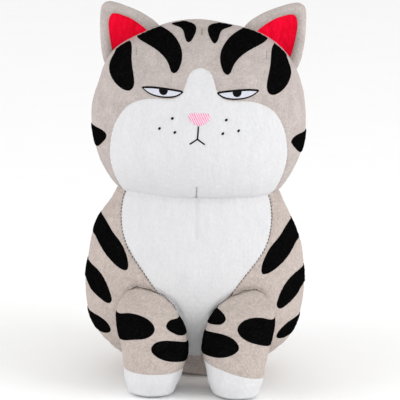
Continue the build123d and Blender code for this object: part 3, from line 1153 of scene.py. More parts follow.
    def back_shell(self) -> Shell:
        """The back of the head: rings from its middle to the edge and to the neck."""
        low = self.fan.angle[0]
        direction = np.linspace(low, np.pi - low, 360)
        edge = self.fan.rim(direction)
        base_x = np.linspace(edge[-1, 0], edge[0, 0], 102)[1:-1]
        outline = np.concatenate([edge, np.stack([base_x, np.full(100, edge[0, 1])], axis=1)])
        ease = np.sin(np.linspace(0, np.pi / 2, 92))
        middle = np.array([0.0, FACE_HEIGHT])
        grid = middle + (outline[:, None] - middle) * ease[None, :, None]
        skin = self.form.facing(grid[..., 0], grid[..., 1], back=True)
        return backed(*self.form.dressed(skin), wrap=True, pole=True)

    def felt(self, side: float) -> dict[str, Shell]:
        """The felt marks of one side by name; the forehead's lies between two curved lines."""
        upper, lower = (drawn(line, 150) * (side, 1) for line in (self.forehead_out, self.forehead_in))
        stars = {"crown_mark": self.crown, "temple_mark": self.temple, "cheek_mark": self.cheek}
        marks = {mark: star_mark(self.fan, points, side, 190, 26) for mark, points in stars.items()}
        return marks | {"forehead_mark": ribbon_mark(self.fan, upper, lower, 34)}

    def sew(self, room: Workroom) -> None:
        """Makes the panels, the stuffing and the felt marks."""
        room.finish("muzzle", self.muzzle_shell(), Finish.WHITE, NECK, ["muzzle_panel"], FULL)
        room.finish("face", self.face_shell(), Finish.BEIGE, NECK, ["face_panel"], FULL)
        room.finish("back_of_head", self.back_shell(), Finish.BEIGE, NECK, ["back_of_head_panel"], FULL)
        bag = capped(bag_grid(self.form, 3.2, NECK_Z + 0.8, 329.0, 120, 70))
        room.finish("head_filling", bag, Finish.FIBRE, NECK, ["head_stuffing"], FULL)
        for name, side in SIDES:
            marks = self.felt(side)
            for mark in ("crown_mark", "forehead_mark", "temple_mark", "cheek_mark"):
                room.finish(f"{mark}_felt_{name}", marks[mark], Finish.BLACK, HEAD, [f"{mark}_{name}"])
        # The darts' stitches are dark thread that also paints the shade of the dart grooves.
        rows = joined(stitched(*self.form.dressed(dart, 0.25), DART_STITCH) for dart in self.darts)
        room.finish("dart_shade_stitches", rows, Finish.SEAM_SHADE_THREAD, NECK)

    def embroider(self, room: Workroom) -> None:
        """Makes the eyes, nose, mouth and whisker dots."""
        Embroidery(self.flat).work(room)


@dataclass
class Embroidery:
    """The stitched face.

    Attributes:
        chart: Places on the front of the head.
        lid: Upper edge of the left eye, from its inner corner.
        under: Lower edge of it.
        line: Width of the dark line round the eye.
        pupil: Middle x, height and radius of the pupil.
        nose: Outline of the nose.
        dots: Places of the whisker dots on the left.
        mouth_half: Half the width of the mouth's line.
    """

    chart: FlatChart
    lid: tuple = ((16.2, 279.4), (25.0, 280.4), (35.0, 281.0), (45.0, 281.0), (53.2, 280.0))
    under: tuple = ((16.2, 279.4), (20.5, 276.2), (28.0, 274.2), (37.0, 274.0), (46.0, 275.8), (53.2, 280.0))
    line: float = 1.7
    pupil: tuple = (33.6, 279.6, 4.4)
    nose: tuple = (
        (0, 261.2), (6.5, 261.2), (9.8, 259.6), (9.3, 255.8), (5.5, 252), (0, 249.9),
        (-5.5, 252), (-9.3, 255.8), (-9.8, 259.6), (-6.5, 261.2),
    )
    dots: tuple = ((24.7, 255.5), (36.4, 245.3), (22.0, 243.0))
    mouth_half: float = 0.76

    def corded(self, line: Array, wide: float, rise: float, closed: bool = False) -> Shell:
        """A line of satin stitches: a low rounded band across which the threads run.

        Args:
            line: Places along it on the front view.
            wide: Half its width.
            rise: Height of its middle.
            closed: Whether it runs back to its start.

        Returns:
            The closed band.
        """
        if closed:
            ahead = np.roll(line, -1, axis=0) - np.roll(line, 1, axis=0)
        else:
            ahead = np.gradient(line, axis=0)
        ahead = unit(ahead)
        beside = np.stack([-ahead[:, 1], ahead[:, 0]], axis=1)
        step = np.linalg.norm(np.diff(line, axis=0), axis=1).mean()
        along = np.arange(len(line)) * step
        ridge = 0.1 * np.abs(np.sin(np.pi * along / 0.55))
        taper = 1.0
        if not closed:
            ends = np.minimum(along, along[-1] - along) / wide
            taper = np.sqrt(np.clip(1 - (1 - np.clip(ends, 0, 1)) ** 2, 0.02, 1))
        across = np.linspace(-1, 1, 9)
        width = (wide * (1 + 0.08 * np.sin(2 * np.pi * along / 0.55)) * taper)[:, None]
        grid = line[:, None] + beside[:, None] * (across[None] * width)[..., None]
        height = rise * np.sqrt(1 - across**2)[None] * (0.85 + ridge[:, None]) - 0.15
        top, normals = self.chart.form.dressed(self.chart.skin(grid), height)
        under = top - normals * (height + 0.8)[..., None]
        return layered(top, under, wrap=closed)

    def satin(self, pitch: float, lean: float) -> Callable[[Array], Array]:
        """Ridges of parallel threads: 0.09 mm times the size of a sine across them."""
        across = np.array([np.cos(np.radians(lean)), 0.0, np.sin(np.radians(lean))])
        return lambda skin: 0.09 * np.abs(np.sin(np.pi * (skin @ across) / pitch))

    def eye(self, side: float) -> tuple[Shell, Shell]:
        """The white of the eye, and the dark thread of its outline and pupil."""
        upper, lower = drawn(self.lid, 150) * (side, 1), drawn(self.under, 150) * (side, 1)
        grid, share = ribbon_grid(upper, lower, 34)
        white = appliqued(self.chart, grid, share, 0.5, False, self.satin(0.5, 0.0))
        border = np.concatenate([upper, lower[::-1][1:-1]])
        outline = self.corded(resampled(np.concatenate([border, border[:1]]), 301)[:-1], self.line / 2, 0.85, True)
        lid_line = self.corded(drawn(self.lid, 160) * (side, 1), self.line * 0.66, 1.1)
        middle_x, middle_z, radius = self.pupil
        turn = np.linspace(0, 2 * np.pi, 90, endpoint=False)
        round_x = middle_x + radius * np.cos(turn)
        lid = np.interp(round_x, *drawn(self.lid, 150).T)
        round_z = np.minimum(middle_z + radius * np.sin(turn), lid)
        ball = np.stack([side * round_x, round_z], axis=1)
        grid, share = star_grid(ball, np.array([side * middle_x, middle_z - radius * 0.4]), 22)
        return white, outline + lid_line + appliqued(self.chart, grid, share, 0.85, True, self.satin(0.5, 0.0))

    def work(self, room: Workroom) -> None:
        """Stitches every part of the face."""
        for name, side in SIDES:
            white, dark = self.eye(side)
            room.finish(f"eye_satin_{name}", white, Finish.WHITE_THREAD, HEAD, [f"eye_white_{name}"])
            room.finish(f"eye_line_{name}", dark, Finish.DARK_THREAD, HEAD, [f"eye_thread_{name}"])
        outline = drawn(self.nose, 180, closed=True)
        grid, share = star_grid(outline, np.array([0.0, 256.5]), 44)
        nose = appliqued(self.chart, grid, share, 0.9, True, self.satin(0.6, 28.0))
        room.finish("nose_satin", nose, Finish.PINK_THREAD, HEAD, ["nose_embroidery"])
        lines = [drawn(((-0.6, 249.6), (-0.9, 243.0), (-1.2, 237.4)), 80)]
        for side in (1, -1):
            lines.append(drawn(((-1.2, 237.8), (side * 3.2 - 1.2, 235.4), (side * 7.0 - 1.2, 232.8)), 60))
        mouth = joined(self.corded(line, self.mouth_half, 0.85) for line in lines)
        room.finish("mouth_stitches", mouth, Finish.DARK_THREAD, HEAD, ["mouth_embroidery"])
        dashes = [
            drawn(((side * x - 0.9, z - 1.1), (side * x, z), (side * x + 0.9, z + 1.1)), 24)
            for side in (1, -1)
            for x, z in self.dots
        ]
        dots = joined(self.corded(dash, 1.2, 0.95) for dash in dashes)
        room.finish("whisker_stitches", dots, Finish.DARK_THREAD, HEAD, ["whisker_dots"])


# ---- the torso


@dataclass
class Torso:
    """The pear-shaped body: belly, flanks, back and base.

    Attributes:
        sections: The stuffed form's table.
        belly: Half width of the belly panel at each height, from the neck down.
        base_z: Height of the seam round the base.
        flank_marks: Outlines of the marks on the left flank.
        back_marks: Heights of the bands across the back.
    """

    sections: tuple = (
        (0, 0, 0, 36, 18, 34), (1.5, 0, 0, 43, 24, 40), (6, 0, 0, 51, 31, 48), (13, 0, 0, 61, 40, 56),
        (21, 0, 0, 73, 49, 63), (32, 0, 0, 85, 57, 69), (49, 0, 0, 96, 64, 74), (72, 0, 0, 101, 67, 76),
        (84, 0, 0, 101.5, 67, 75), (106, 0, 0, 99.8, 66, 72), (124, 0, 0, 97, 63, 67),
        (141, 0, 0, 91.5, 59, 60), (152, 0, 0, 86.5, 56, 54), (164, 0, 0, 80, 52.5, 48), (175, 0, 0, 75.5, 50, 44),
    )
    belly: tuple = (
        (27, 8.0), (46, 11), (66, 19), (90, 35.5), (103, 45), (114.8, 54.5), (123.6, 60.6),
        (134.2, 65.6), (147, 68.9), (157.6, 70), (167.4, 69), (176.5, 67),
    )
    base_z: float = 27.0
    flank_marks: dict = field(
        default_factory=lambda: {
            "flank_mark_upper": (
                (88.3, 149.6), (97, 146), (101, 138), (94.8, 131.6), (91.2, 127), (85.6, 119.8), (76, 111),
                (67.2, 106), (62.4, 106.2), (61.2, 112), (63.4, 121), (68.4, 130.4), (77, 139),
            ),
            "flank_mark_middle": (
                (104, 104.6), (112, 99), (112, 92), (102.4, 89.4), (96.3, 81.6), (87, 74), (78.8, 71.4), (75.8, 74.6),
                (76.8, 80.6), (80.6, 89.6), (88.2, 99.6), (96, 103.6),
            ),
            "flank_mark_lower": (
                (104, 57.4), (108, 52), (101, 47), (95.5, 43), (89, 39.4), (80.4, 39.4), (76.4, 43.4), (78.6, 50),
                (87.6, 55.6), (96, 57.2),
            ),
        }
    )
    back_marks: dict = field(default_factory=lambda: {"upper": 140.0, "middle": 106.0, "lower": 72.0})

    def __post_init__(self) -> None:
        """Shapes the form, then sews its seams in."""
        self.form = StuffedForm(self.sections, lumps=Unevenness(5, 50.0, 0.6), pile=Unevenness(8, 3.8, 0.09))
        table = np.array(self.belly)
        self.belly_edge = spline(table[:, 0], table[:, 1])
        z = np.linspace(self.base_z, NECK_Z, 150)
        form = self.form
        self.belly_lines = {side: form.facing(side * self.belly_edge(z), z) for side in (1, -1)}
        form.seams = [
            *(Seam(line, 0.8, 1.5, 0.45, 3.4) for line in self.belly_lines.values()),
            *(Seam(form.around(np.full(150, side * np.pi / 2), z), 0.6, 2.2, 0.4, 5.2) for side in (1, -1)),
            Seam(form.ring(self.base_z, 400), 0.9, 2.4, 0.35, 5.0),
            Seam(form.ring(NECK_Z, 400), 1.0, 3.0, 0.3, 6.0),
            Seam(form.upright(140.0, 175.0, 40), 1.3, 1.5, 0.1),
            Seam(form.upright(28.0, 175.0, 120, back=True), 0.7, 1.9, 0.35),
        ]

    def panel(self, start: Callable[[Array], Array], end: Callable[[Array], Array], columns: int) -> Shell:
        """A wall panel from the base seam to the neck, between two angles at each height."""
        z = np.linspace(self.base_z, NECK_Z + NECK_LAP, 138)[:, None]
        share = np.linspace(0, 1, columns)[None]
        turn = start(z) + (end(z) - start(z)) * share
        return backed(*self.form.dressed(self.form.around(turn, z + 0 * share)))

    def belly_turn(self, z: Array) -> Array:
        """Angle of the belly's left edge at each height."""
        return np.arcsin(self.belly_edge(z) / self.form.section(z)[2])

    def base_shell(self) -> Shell:
        """The base: from its seam down the rounded bottom, then flat to the middle."""
        z = self.base_z * (1 - np.sin(np.linspace(0, np.pi / 2, 46)))[None]
        wall = self.form.around(full_turn(300)[:, None], z)
        return soled(self.form, wall, 22, np.array([0.0, 8.0, 0.9]))

    def back_mark(self, height: float) -> Shell:
        """A pointed band across the back that sags in its middle."""
        x = np.linspace(-58.0, 58.0, 170)
        bow = 1 - (x / 58.0) ** 2
        upper, lower = (np.stack([x, height + sag * bow], axis=1) for sag in (2.0, -13.0))
        return ribbon_mark(BackChart(self.form), upper, lower, 26)

    def stitches(self, path: Array, stitch: Stitch, side: float = 1.0) -> Shell:
        """A row of stitches that sits in a seam's dip."""
        return stitched(*self.form.dressed(path, 0.3), stitch, side)

    def sew(self, room: Workroom) -> None:
        """Makes the panels, the stuffing, the marks and the stitches."""
        quarter = np.pi / 2
        panels = {
            "belly": (lambda z: -self.belly_turn(z), self.belly_turn, 120),
            "flank_left": (self.belly_turn, lambda z: quarter + 0 * z, 84),
            "flank_right": (lambda z: -quarter + 0 * z, lambda z: -self.belly_turn(z), 84),
            "back": (lambda z: quarter + 0 * z, lambda z: 3 * quarter + 0 * z, 210),
        }
        nodes = ("belly_panel", "flank_panel_left", "flank_panel_right", "back_panel")
        for (name, edges), node in zip(panels.items(), nodes):
            finish = Finish.WHITE if name == "belly" else Finish.BEIGE_LOW
            room.finish(name, self.panel(*edges), finish, NECK, [node], FULL)
        room.finish("base", self.base_shell(), Finish.BEIGE_LOW, TORSO, ["base_panel"], FIRM)
        bag = capped(bag_grid(self.form, 3.2, 3.2, NECK_Z - 0.8, 120, 70))
        room.finish("torso_filling", bag, Finish.FIBRE, NECK, ["torso_stuffing"], FULL)
        for name, side in SIDES:
            for mark, points in self.flank_marks.items():
                shell = star_mark(WrapChart(self.form), points, side, 190, 30)
                room.finish(f"{mark}_felt_{name}", shell, Finish.BLACK, TORSO, [f"{mark}_{name}"])
            # The belly seam's stitches are dark thread that also paints the shadows between the seam's puckers.
            row = self.stitches(self.belly_lines[int(side)][22:-1], BELLY_STITCH, side)
            room.finish(f"belly_seam_{name}", row, Finish.SEAM_SHADE_THREAD, NECK)
        for name, height in self.back_marks.items():
            room.finish(f"back_band_{name}", self.back_mark(height), Finish.BLACK, TORSO, [f"back_mark_{name}"])
        row = self.stitches(self.form.upright(34.0, 58.0, 40, back=True), CLOSING_STITCH)
        room.finish("closing_stitches", row, Finish.SEAM_SHADE_THREAD, TORSO, ["closing_seam"])


# ---- the forelegs


@dataclass
class Foreleg:
    """One foreleg: a stuffed leg sewn on at its top, a white paw and three felt marks.

    Attributes:
        name: left or right.
        side: 1 or -1.
        torso: The form it is sewn to.
        marks: Outlines of its marks, on the left side's front view.
        paw_seam: Height of the paw's seam at the outside of the leg and at its inside.
        sections: The stuffed form's table, on the left side.
        drift: How far both legs stand to the left of the body's middle.
    """

    name: str
    side: float
    torso: StuffedForm
    marks: dict
    paw_seam: tuple
    sections: tuple = (
        (0, 39, -87, 15, 17, 17), (1.5, 39, -87, 19, 22, 22), (6, 38.5, -87, 22.5, 26, 26),
        (13, 38, -87, 25, 28.5, 28.5), (25, 37.5, -86, 27.5, 30, 30), (37, 37, -84, 30, 31, 31),
        (49, 38.5, -80, 31, 30.5, 30.5), (60, 41, -76, 31, 29, 29), (70.5, 43.8, -71, 29, 25, 25),
        (81, 46, -65, 24, 18, 18), (86.7, 47, -60, 18, 14, 12), (90.6, 47.5, -56, 11.5, 9, 9), (93.4, 48, -51, 4, 4, 4),
    )
    drift: float = 2.0

    def __post_init__(self) -> None:
        """Shapes the form and finds where it meets the torso."""
        sections = tuple((row[0], row[1] + self.side * self.drift, *row[2:]) for row in self.sections)
        self.form = StuffedForm(sections, self.side, lumps=Unevenness(11, 38.0, 0.45), pile=Unevenness(9, 3.6, 0.1))
        self.hold = Hold("torso", f"foreleg_{self.name}", (0, -60, 96), (0, -92, 66))
        turn = np.radians(np.linspace(-100, 133, 420))[:, None]
        z = np.linspace(self.form.top, 34.0, 1200)[None]
        outside = self.torso.inside(self.form.around(turn, z)) > 0.01
        first = outside.argmax(axis=1)
        self.arch = self.form.around(turn[:, 0], z[0, first])
        self.arch_seam = Seam(self.arch, 1.7, 2.8, 0.3, 2.8)
        self.torso.seams.append(self.arch_seam)
        ring = np.linspace(-np.pi, np.pi, 200)
        self.form.seams = [
            self.arch_seam,
            Seam(self.form.around(ring, self.paw_line(ring)), 0.7, 1.4, 0.3, 2.6),
        ]

    def paw_line(self, turn: Array) -> Array:
        """Height of the paw's seam: the mean of its two heights plus half their difference times the sine."""
        outer, inner = self.paw_seam
        return (outer + inner) / 2 + (outer - inner) / 2 * np.sin(turn)

    def cover_shell(self) -> Shell:
        """The leg's plush from the paw seam up to its closed top."""
        turn = full_turn(190)[:, None]
        share = np.sin(np.linspace(0, np.pi / 2, 96))[None]
        low = self.paw_line(turn)
        z = low + (self.form.top - low) * share
        outer, normals = self.form.dressed(self.form.around(turn, z))
        centre = outer[:, -1:].mean(axis=0, keepdims=True)
        outer = np.concatenate([outer, np.broadcast_to(centre, (190, 1, 3))], axis=1)[:, ::-1]
        up = np.broadcast_to(np.array([0.0, 0.0, 1.0]), (190, 1, 3))
        normals = np.concatenate([normals, up], axis=1)[:, ::-1]
        return backed(outer, normals, wrap=True, pole=True)

    def paw_shell(self) -> Shell:
        """The paw: from its seam down the rounded toe, then flat to the middle of the sole."""
        turn = full_turn(190)[:, None]
        wall = self.form.around(turn, self.paw_line(turn) * np.cos(np.linspace(0, np.pi / 2, 40))[None])
        return soled(self.form, wall, 14)

    def sew(self, room: Workroom) -> None:
        """Makes the cover, paw, stuffing, marks and the stitches along the arch."""
        name = self.name
        room.finish(f"leg_{name}", self.cover_shell(), Finish.BEIGE_LOW, self.hold, [f"leg_cover_{name}"], FIRM)
        room.finish(f"paw_{name}", self.paw_shell(), Finish.WHITE, self.hold, [f"paw_cover_{name}"], FIRM)
        bag = capped(bag_grid(self.form, 3.0, 3.5, 88.0, 90, 50))
        room.finish(f"leg_filling_{name}", bag, Finish.FIBRE, self.hold, [f"leg_stuffing_{name}"], FIRM)
        for mark, points in self.marks.items():
            shell = star_mark(WrapChart(self.form), points, self.side, 170, 26)
            room.finish(f"{mark}_felt_{name}", shell, Finish.BLACK, self.hold, [f"{mark}_{name}"])
        # The arch's stitches are dark thread, partly the real stitches and partly painted shade along the leg's sewn
        # top.
        spots, normals = self.form.dressed(self.arch[8:-6], 0.9)
        row = stitched(spots, normals + np.array([0, 0, 0.6]), LEG_STITCH)
        room.finish(f"leg_seam_shade_{name}", row, Finish.SEAM_SHADE_THREAD, self.hold)


LEG_MARKS = {
    "left": {
        "leg_mark_outer": (
            (86, 69), (74.5, 71), (64, 74), (53.6, 74.6), (43.8, 71.4), (40.2, 65.6), (45.4, 58.6), (57, 53.4),
            (67, 49.5), (75, 46), (86, 46),
        ),
        "leg_mark_upper": ((6, 80), (17, 79), (25.6, 77.2), (30, 72.6), (26.6, 68.2), (16, 65.4), (4, 64.6)),
        "leg_mark_lower": (
            (-2, 55), (6, 57.6), (14, 59.8), (28.4, 60.8), (39.6, 56.4), (43, 50), (36, 43.8), (21, 40.4), (8, 39.4),
            (-2, 39.4),
        ),
    },
    "right": {
        "leg_mark_outer": (
            (84, 72), (72, 72.4), (62, 74.4), (53.6, 74.6), (41, 71.2), (34.6, 64), (40.4, 57.4), (54, 53.8),
            (66, 50), (74, 47.6), (84, 47.4),
        ),
        "leg_mark_upper": ((0, 70), (12, 70), (21.6, 70), (25.2, 66), (20.4, 60.8), (12, 56.4), (4, 54.4), (-4, 53.6)),
        "leg_mark_lower": (
            (-6, 46), (2, 48.4), (10, 51), (23.8, 54.6), (35.2, 52.6), (38.4, 47.3), (33.6, 41.2), (19.6, 35.9),
            (8, 33), (-6, 31),
        ),
    },
}
PAW_SEAMS = {"left": (19.0, 34.0), "right": (24.0, 24.5)}


# ---- the ears


@dataclass
class Ear:
    """One ear: a cupped, padded triangle with a red lining inside a beige rim.

    Attributes:
        name: left or right.
        side: 1 or -1.
        outline: The ear's edge on the front view, its root inside the head.
        lining: The lining's edge.
        centre: The place that both are measured from.
        plane: y of the ear's edge.
        shift: How far the ear is sewn on outward and upward of its usual place.
    """

    name: str
    side: float
    outline: tuple = (
        (41, 327), (49, 334), (60.5, 340.5), (73, 345.2), (84, 348.4), (90.5, 348.4), (95, 345), (96.6, 337),
        (96.4, 322), (95, 306), (89, 287), (78, 280), (50, 300), (38, 318),
    )
    lining: tuple = (
        (50.6, 320), (59.4, 328.2), (69, 334), (79, 337.4), (85.4, 337.6), (88.2, 333), (88, 320), (85.8, 308),
        (81.6, 296), (71, 288), (54, 300), (48, 311),
    )
    centre: tuple = (71.0, 316.0)
    plane: float = 9.0
    shift: tuple = (0.0, 0.0)

    def __post_init__(self) -> None:
        """Sets up the ear's hold on the head, its pile and the reach of its outlines."""
        base = np.array([48.0, 0.0, -37.0])
        base /= np.linalg.norm(base)
        up = np.array([-base[2], 0.0, base[0]])
        pivot = np.array([67.5, 9.0, 311.0])
        mirror = np.array([self.side, 1.0, 1.0])
        start, end = (pivot - up * 5) * mirror, (pivot + up * 15) * mirror
        self.hold = Hold("head", f"ear_{self.name}", tuple(start), tuple(end))
        self.base = base
        self.pile = Unevenness(13, 3.6, 0.09)
        self.turn = full_turn(200)
        self.edge = self.reach(self.outline)
        self.inner = self.reach(self.lining)

    def reach(self, points: Pairs) -> Array:
        """Distance from the centre to a closed outline in each direction."""
        line = drawn(points, 900, closed=True) - np.array(self.centre)
        angle = np.arctan2(line[:, 1], line[:, 0])
        order = np.argsort(angle)
        return np.interp(self.turn, angle[order], np.hypot(*line[order].T), period=2 * np.pi)

    def place(self, reach: Array, height: Array) -> Array:
        """Points at a distance from the centre in each direction, set forward of the ear's plane."""
        x = self.centre[0] + reach * np.cos(self.turn)[:, None]
        z = self.centre[1] + reach * np.sin(self.turn)[:, None]
        across = (x - 67.5) * self.base[0] + (z - 311.0) * self.base[2]
        cup = 0.0042 * across**2
        flat = np.stack([x, 0 * x, z], axis=-1)
        y = self.plane - cup - height - self.pile.at(flat)
        outward, upward = self.shift
        return np.stack([self.side * (x + outward), y, z + upward], axis=-1)

    def creases(self, reach: Array) -> Array:
        """Soft folds of the lining that fan out from the ear's root."""
        x = self.centre[0] + reach * np.cos(self.turn)[:, None] - 66.0
        z = self.centre[1] + reach * np.sin(self.turn)[:, None] - 296.0
        fan = np.arctan2(x, np.maximum(z, 1.0))
        fade = np.clip(z / 14.0, 0, 1) * np.clip((50.0 - z) / 30.0, 0, 1)
        return -(1.5 * np.exp(-(((fan + 0.12) / 0.09) ** 2)) + 1.0 * np.exp(-(((fan - 0.32) / 0.08) ** 2))) * fade

    def sew(self, room: Workroom) -> None:
        """Makes the back, the rim, the lining and the padding."""
        name = self.name
        edge, inner = self.edge[:, None], self.inner[:, None]
        steps = np.linspace(0, 1, 22)[None]
        rim_reach = inner + (edge - inner) * steps
        roll = 2.9 * np.sin(np.linspace(0, np.pi, 22))[None] ** 0.7 + 1.4 * (1 - steps)
        rim = layered(self.place(rim_reach, roll), self.place(rim_reach, roll - FABRIC), wrap=True)
        share = np.linspace(0, 1, 34)[None]
        reach = inner * share
        dish = 1.5 - 1.4 * (1 - share**2) + 0.5 * self.creases(reach) - 0.5 * share**10
        lining = layered(self.place(reach, dish), self.place(reach, dish - FABRIC), wrap=True, pole=True)
        round_out = np.sin(share * np.pi / 2)
        dome = -5.6 * np.sqrt(np.maximum(1 - round_out**2.6, 0))
        under = self.place(edge * round_out * 0.985, dome + FABRIC * np.cos(share * np.pi / 2))
        back = layered(self.place(edge * round_out, dome), under, wrap=True, pole=True)
        pad_reach = edge * 0.74 * np.sin(np.linspace(0, np.pi, 50))[None]
        pad_height = -3.0 - 0.7 * np.cos(np.linspace(0, 1, 50)[None] * np.pi)
        pad = capped(self.place(pad_reach, pad_height + 0 * pad_reach))
        for piece, shell, finish, node in (
            ("ear_border", rim, Finish.BEIGE, "ear_rim"),
            ("ear_inside", lining, Finish.RED, "ear_lining"),
            ("ear_outside", back, Finish.BEIGE, "ear_back"),
            ("ear_filling", pad, Finish.FIBRE, "ear_padding"),
        ):
            room.finish(f"{piece}_{name}", shell, finish, self.hold, [f"{node}_{name}"], THIN)


# ---- the tail


@dataclass
class Tail:
    """The tail: a stuffed tube from low on the back that curves up, with two bands and a dark tip.

    Attributes:
        radius: Radius of the tube.
        root: Where its path starts.
        straight: Length of the path before its bend.
        bend: Radius of the bend.
        top: Height of the path's end.
        tip_z: Height at which the dark tip starts.
        bands: Heights at which the bands start.
        band_height: Height of a band.
    """

    radius: float = 12.0
    root: tuple = (0.0, 64.0, 30.0)
    straight: float = 12.0
    bend: float = 24.0
    top: float = 118.0
    tip_z: float = 100.0
    bands: tuple = (60.0, 80.0)
    band_height: float = 10.0

    def __post_init__(self) -> None:
        """Measures the path."""
        self.arc = self.bend * np.pi / 2
        self.length = self.straight + self.arc + self.top - self.root[2] - self.bend
        self.hold = Hold("torso", "tail", (0, 66, 30), (0, 84, 34))
        self.pile = Unevenness(15, 3.6, 0.1)
        self.lumps = Unevenness(16, 30.0, 0.4)

    def path(self, along: Array) -> tuple[Array, Array]:
        """Centre of the tube at each length, and the direction away from its bend."""
        turn = np.clip((along - self.straight) / self.bend, 0, np.pi / 2)
        start_y = self.root[1] + np.minimum(along, self.straight)
        rise = np.maximum(along - self.straight - self.arc, 0)
        y = start_y + self.bend * np.sin(turn)
        z = self.root[2] + self.bend * (1 - np.cos(turn)) + rise
        centre = np.stack([0 * along, y, z], axis=-1)
        return centre, np.stack([0 * along, np.sin(turn), -np.cos(turn)], axis=-1)

    def skin(self, along: Array, turn: Array, lift: float) -> Array:
        """The tube: centre + r (cos t X + sin t N), with r closing in a dome past the path's end."""
        centre, out = self.path(along)
        past = np.clip((along - self.length) / self.radius, 0, 1)
        narrow = 1 - 0.06 * np.clip(along / self.length, 0, 1)
        round_end = np.sqrt(np.maximum(1 - past**2, 0))
        across = np.stack([np.ones_like(along), 0 * along, 0 * along], axis=-1)
        ray = across[:, None] * np.cos(turn)[None, :, None] + out[:, None] * np.sin(turn)[None, :, None]
        bare = centre[:, None] + ray * (self.radius * narrow * round_end)[:, None, None]
        grow = lift + self.pile.at(bare) + self.lumps.at(bare)
        bare = bare + ray * (grow * round_end[:, None])[..., None]
        return np.swapaxes(bare, 0, 1)

    def tube(self, along: Array, turn: Array, pole: bool = False) -> Shell:
        """A stretch of the tube's plush with its backing."""
        return layered(self.skin(along, turn, 0.0), self.skin(along, turn, -FABRIC), wrap=True, pole=pole)

    def band(self, height: float, turn: Array) -> Shell:
        """A felt band round the tube, its two edges rounded down."""
        places = np.linspace(self.along_at(height), self.along_at(height + self.band_height), 16)
        edge = np.abs(np.linspace(-1, 1, 16)) ** 8
        outer, inner = self.skin(places, turn, FELT_RISE), self.skin(places, turn, -0.5)
        return layered(outer + (inner - outer) * (0.95 * edge)[None, :, None], inner, wrap=True)

    def along_at(self, z: float) -> float:
        """Length along the path at which the upright part reaches a height."""
        return self.length - (self.top - z)

    def sew(self, room: Workroom) -> None:
        """Makes the cover, the tip, the bands and the stuffing."""
        turn = np.linspace(0, 2 * np.pi, 84, endpoint=False)
        split = self.along_at(self.tip_z)
        low = np.linspace(0, split, 96)
        cover = self.tube(low, turn)
        room.finish("tail_plush", cover, Finish.BEIGE_LOW, self.hold, ["tail_cover"], FIRM)
        ease = np.sin(np.linspace(0, np.pi / 2, 34))
        tip = self.tube((split + (self.length + self.radius - split) * ease)[::-1], turn, pole=True)
        room.finish("tail_tip", tip, Finish.BLACK, self.hold, ["tail_tip_cover"], FIRM)
        bands = joined(self.band(height, turn) for height in self.bands)
        room.finish("tail_bands_felt", bands, Finish.BLACK, self.hold, ["tail_bands"])
        ends = np.concatenate([[0.0], np.linspace(0.0, self.length + self.radius - 2.5, 60)])
        bag = self.skin(ends, turn, -3.0)
        bag[:, 0] = bag[:, 0].mean(axis=0)
        bag[:, -1] = bag[:, -1].mean(axis=0)
        room.finish("tail_filling", capped(bag), Finish.FIBRE, self.hold, ["tail_stuffing"], FIRM)


# ---- the room that the toy is seen in


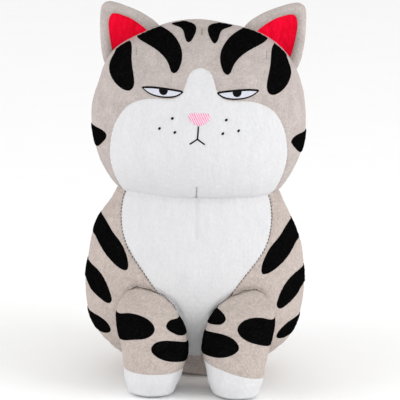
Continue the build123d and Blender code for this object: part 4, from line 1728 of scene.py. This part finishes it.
@dataclass(frozen=True)
class Studio:
    """Plain pale floor, soft light and the camera.

    Attributes:
        aim: Point that the middle of the picture shows, in metres.
        elevation: Camera's height above the horizon, in degrees.
        roll: Turn of the camera about its own axis, in degrees.
        distance: From the camera to the aim.
        field_width: Width that the picture shows at the aim.
    """

    aim: tuple = (0.0028, 0.0, 0.1622)
    elevation: float = 14.0
    roll: float = 1.7
    distance: float = 8.0
    field_width: float = 0.3706

    def camera(self) -> None:
        """Places the camera in front of the toy."""
        lens = bpy.data.cameras.new("camera")
        lens.sensor_width = 36.0
        lens.lens = lens.sensor_width * self.distance / self.field_width
        lens.clip_end = 50.0
        camera = bpy.data.objects.new("camera", lens)
        bpy.context.scene.collection.objects.link(camera)
        angle = np.radians(self.elevation)
        away = Vector((0.0, -np.cos(angle), np.sin(angle)))
        turn = Matrix.Rotation(np.radians(90.0 - self.elevation), 4, "X")
        roll = Matrix.Rotation(np.radians(self.roll), 4, "Z")
        camera.matrix_world = Matrix.Translation(Vector(self.aim) + away * self.distance) @ turn @ roll
        bpy.context.scene.camera = camera

    def lamp(self, name: str, place: tuple, size: float, power: float) -> None:
        """Hangs a square soft light that faces the toy."""
        light = bpy.data.lights.new(name, "AREA")
        light.size = size
        light.energy = power
        lamp = bpy.data.objects.new(name, light)
        bpy.context.scene.collection.objects.link(lamp)
        lamp.location = place
        lamp.rotation_euler = (Vector(self.aim) - Vector(place)).to_track_quat("-Z", "Y").to_euler()

    def floor(self) -> None:
        """Lays the floor."""
        mesh = bpy.data.meshes.new("floor")
        half, low = 8.0, -0.0004
        corners = [(x * half, y * half, low) for x, y in ((-1, -1), (1, -1), (1, 1), (-1, 1))]
        mesh.from_pydata(corners, [], [(0, 1, 2, 3)])
        floor = bpy.data.objects.new("floor", mesh)
        bpy.context.scene.collection.objects.link(floor)
        paint = bpy.data.materials.new("studio floor")
        paint.use_nodes = True
        board = Board(paint.node_tree)
        shader = paint.node_tree.nodes["Principled BSDF"]
        place = board.add("ShaderNodeTexCoord").outputs["Object"]
        tone = board.blend(board.noise(place, 30.0), (0.97, 0.97, 0.97, 1), (0.99, 0.99, 0.99, 1))
        board.feed(shader, {"Base Color": tone, "Roughness": 0.8})
        mesh.materials.append(paint)
        floor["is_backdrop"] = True

    def build(self) -> None:
        """Sets up floor, lights, sky and camera."""
        world = bpy.data.worlds.new("studio")
        bpy.context.scene.world = world
        world.use_nodes = True
        sky = world.node_tree.nodes["Background"]
        sky.inputs["Color"].default_value = (1.0, 1.0, 1.0, 1)
        sky.inputs["Strength"].default_value = 0.84
        bpy.context.scene.view_settings.view_transform = "Standard"
        self.lamp("right softbox", (2.3, -0.9, 0.75), 2.0, 41.0)
        self.lamp("left softbox", (-2.3, -0.9, 0.7), 2.0, 31.0)
        self.lamp("front fill", (0.3, -3.0, 0.5), 2.0, 10.0)
        self.floor()
        self.camera()


def main() -> None:
    """Builds the toy from the head down, then the studio."""
    logging.basicConfig(level=logging.INFO, format="%(name)s: %(message)s")
    Studio().build()
    room = Workroom()
    head, torso = Head(), Torso()
    head.sew(room)
    head.embroider(room)
    legs = [Foreleg(name, side, torso.form, LEG_MARKS[name], PAW_SEAMS[name]) for name, side in SIDES]
    torso.sew(room)
    for leg in legs:
        leg.sew(room)
    for (name, side), shift in zip(SIDES, ((-0.8, 1.2), (-2.4, -2.6))):
        Ear(name, side, shift=shift).sew(room)
    Tail().sew(room)
    boxes = {"cad": CAD_BOX, "visual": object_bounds()}
    boxes = {name: [[float(v) for v in corner] for corner in box] for name, box in boxes.items()}


if __name__ == "__main__":
    main()
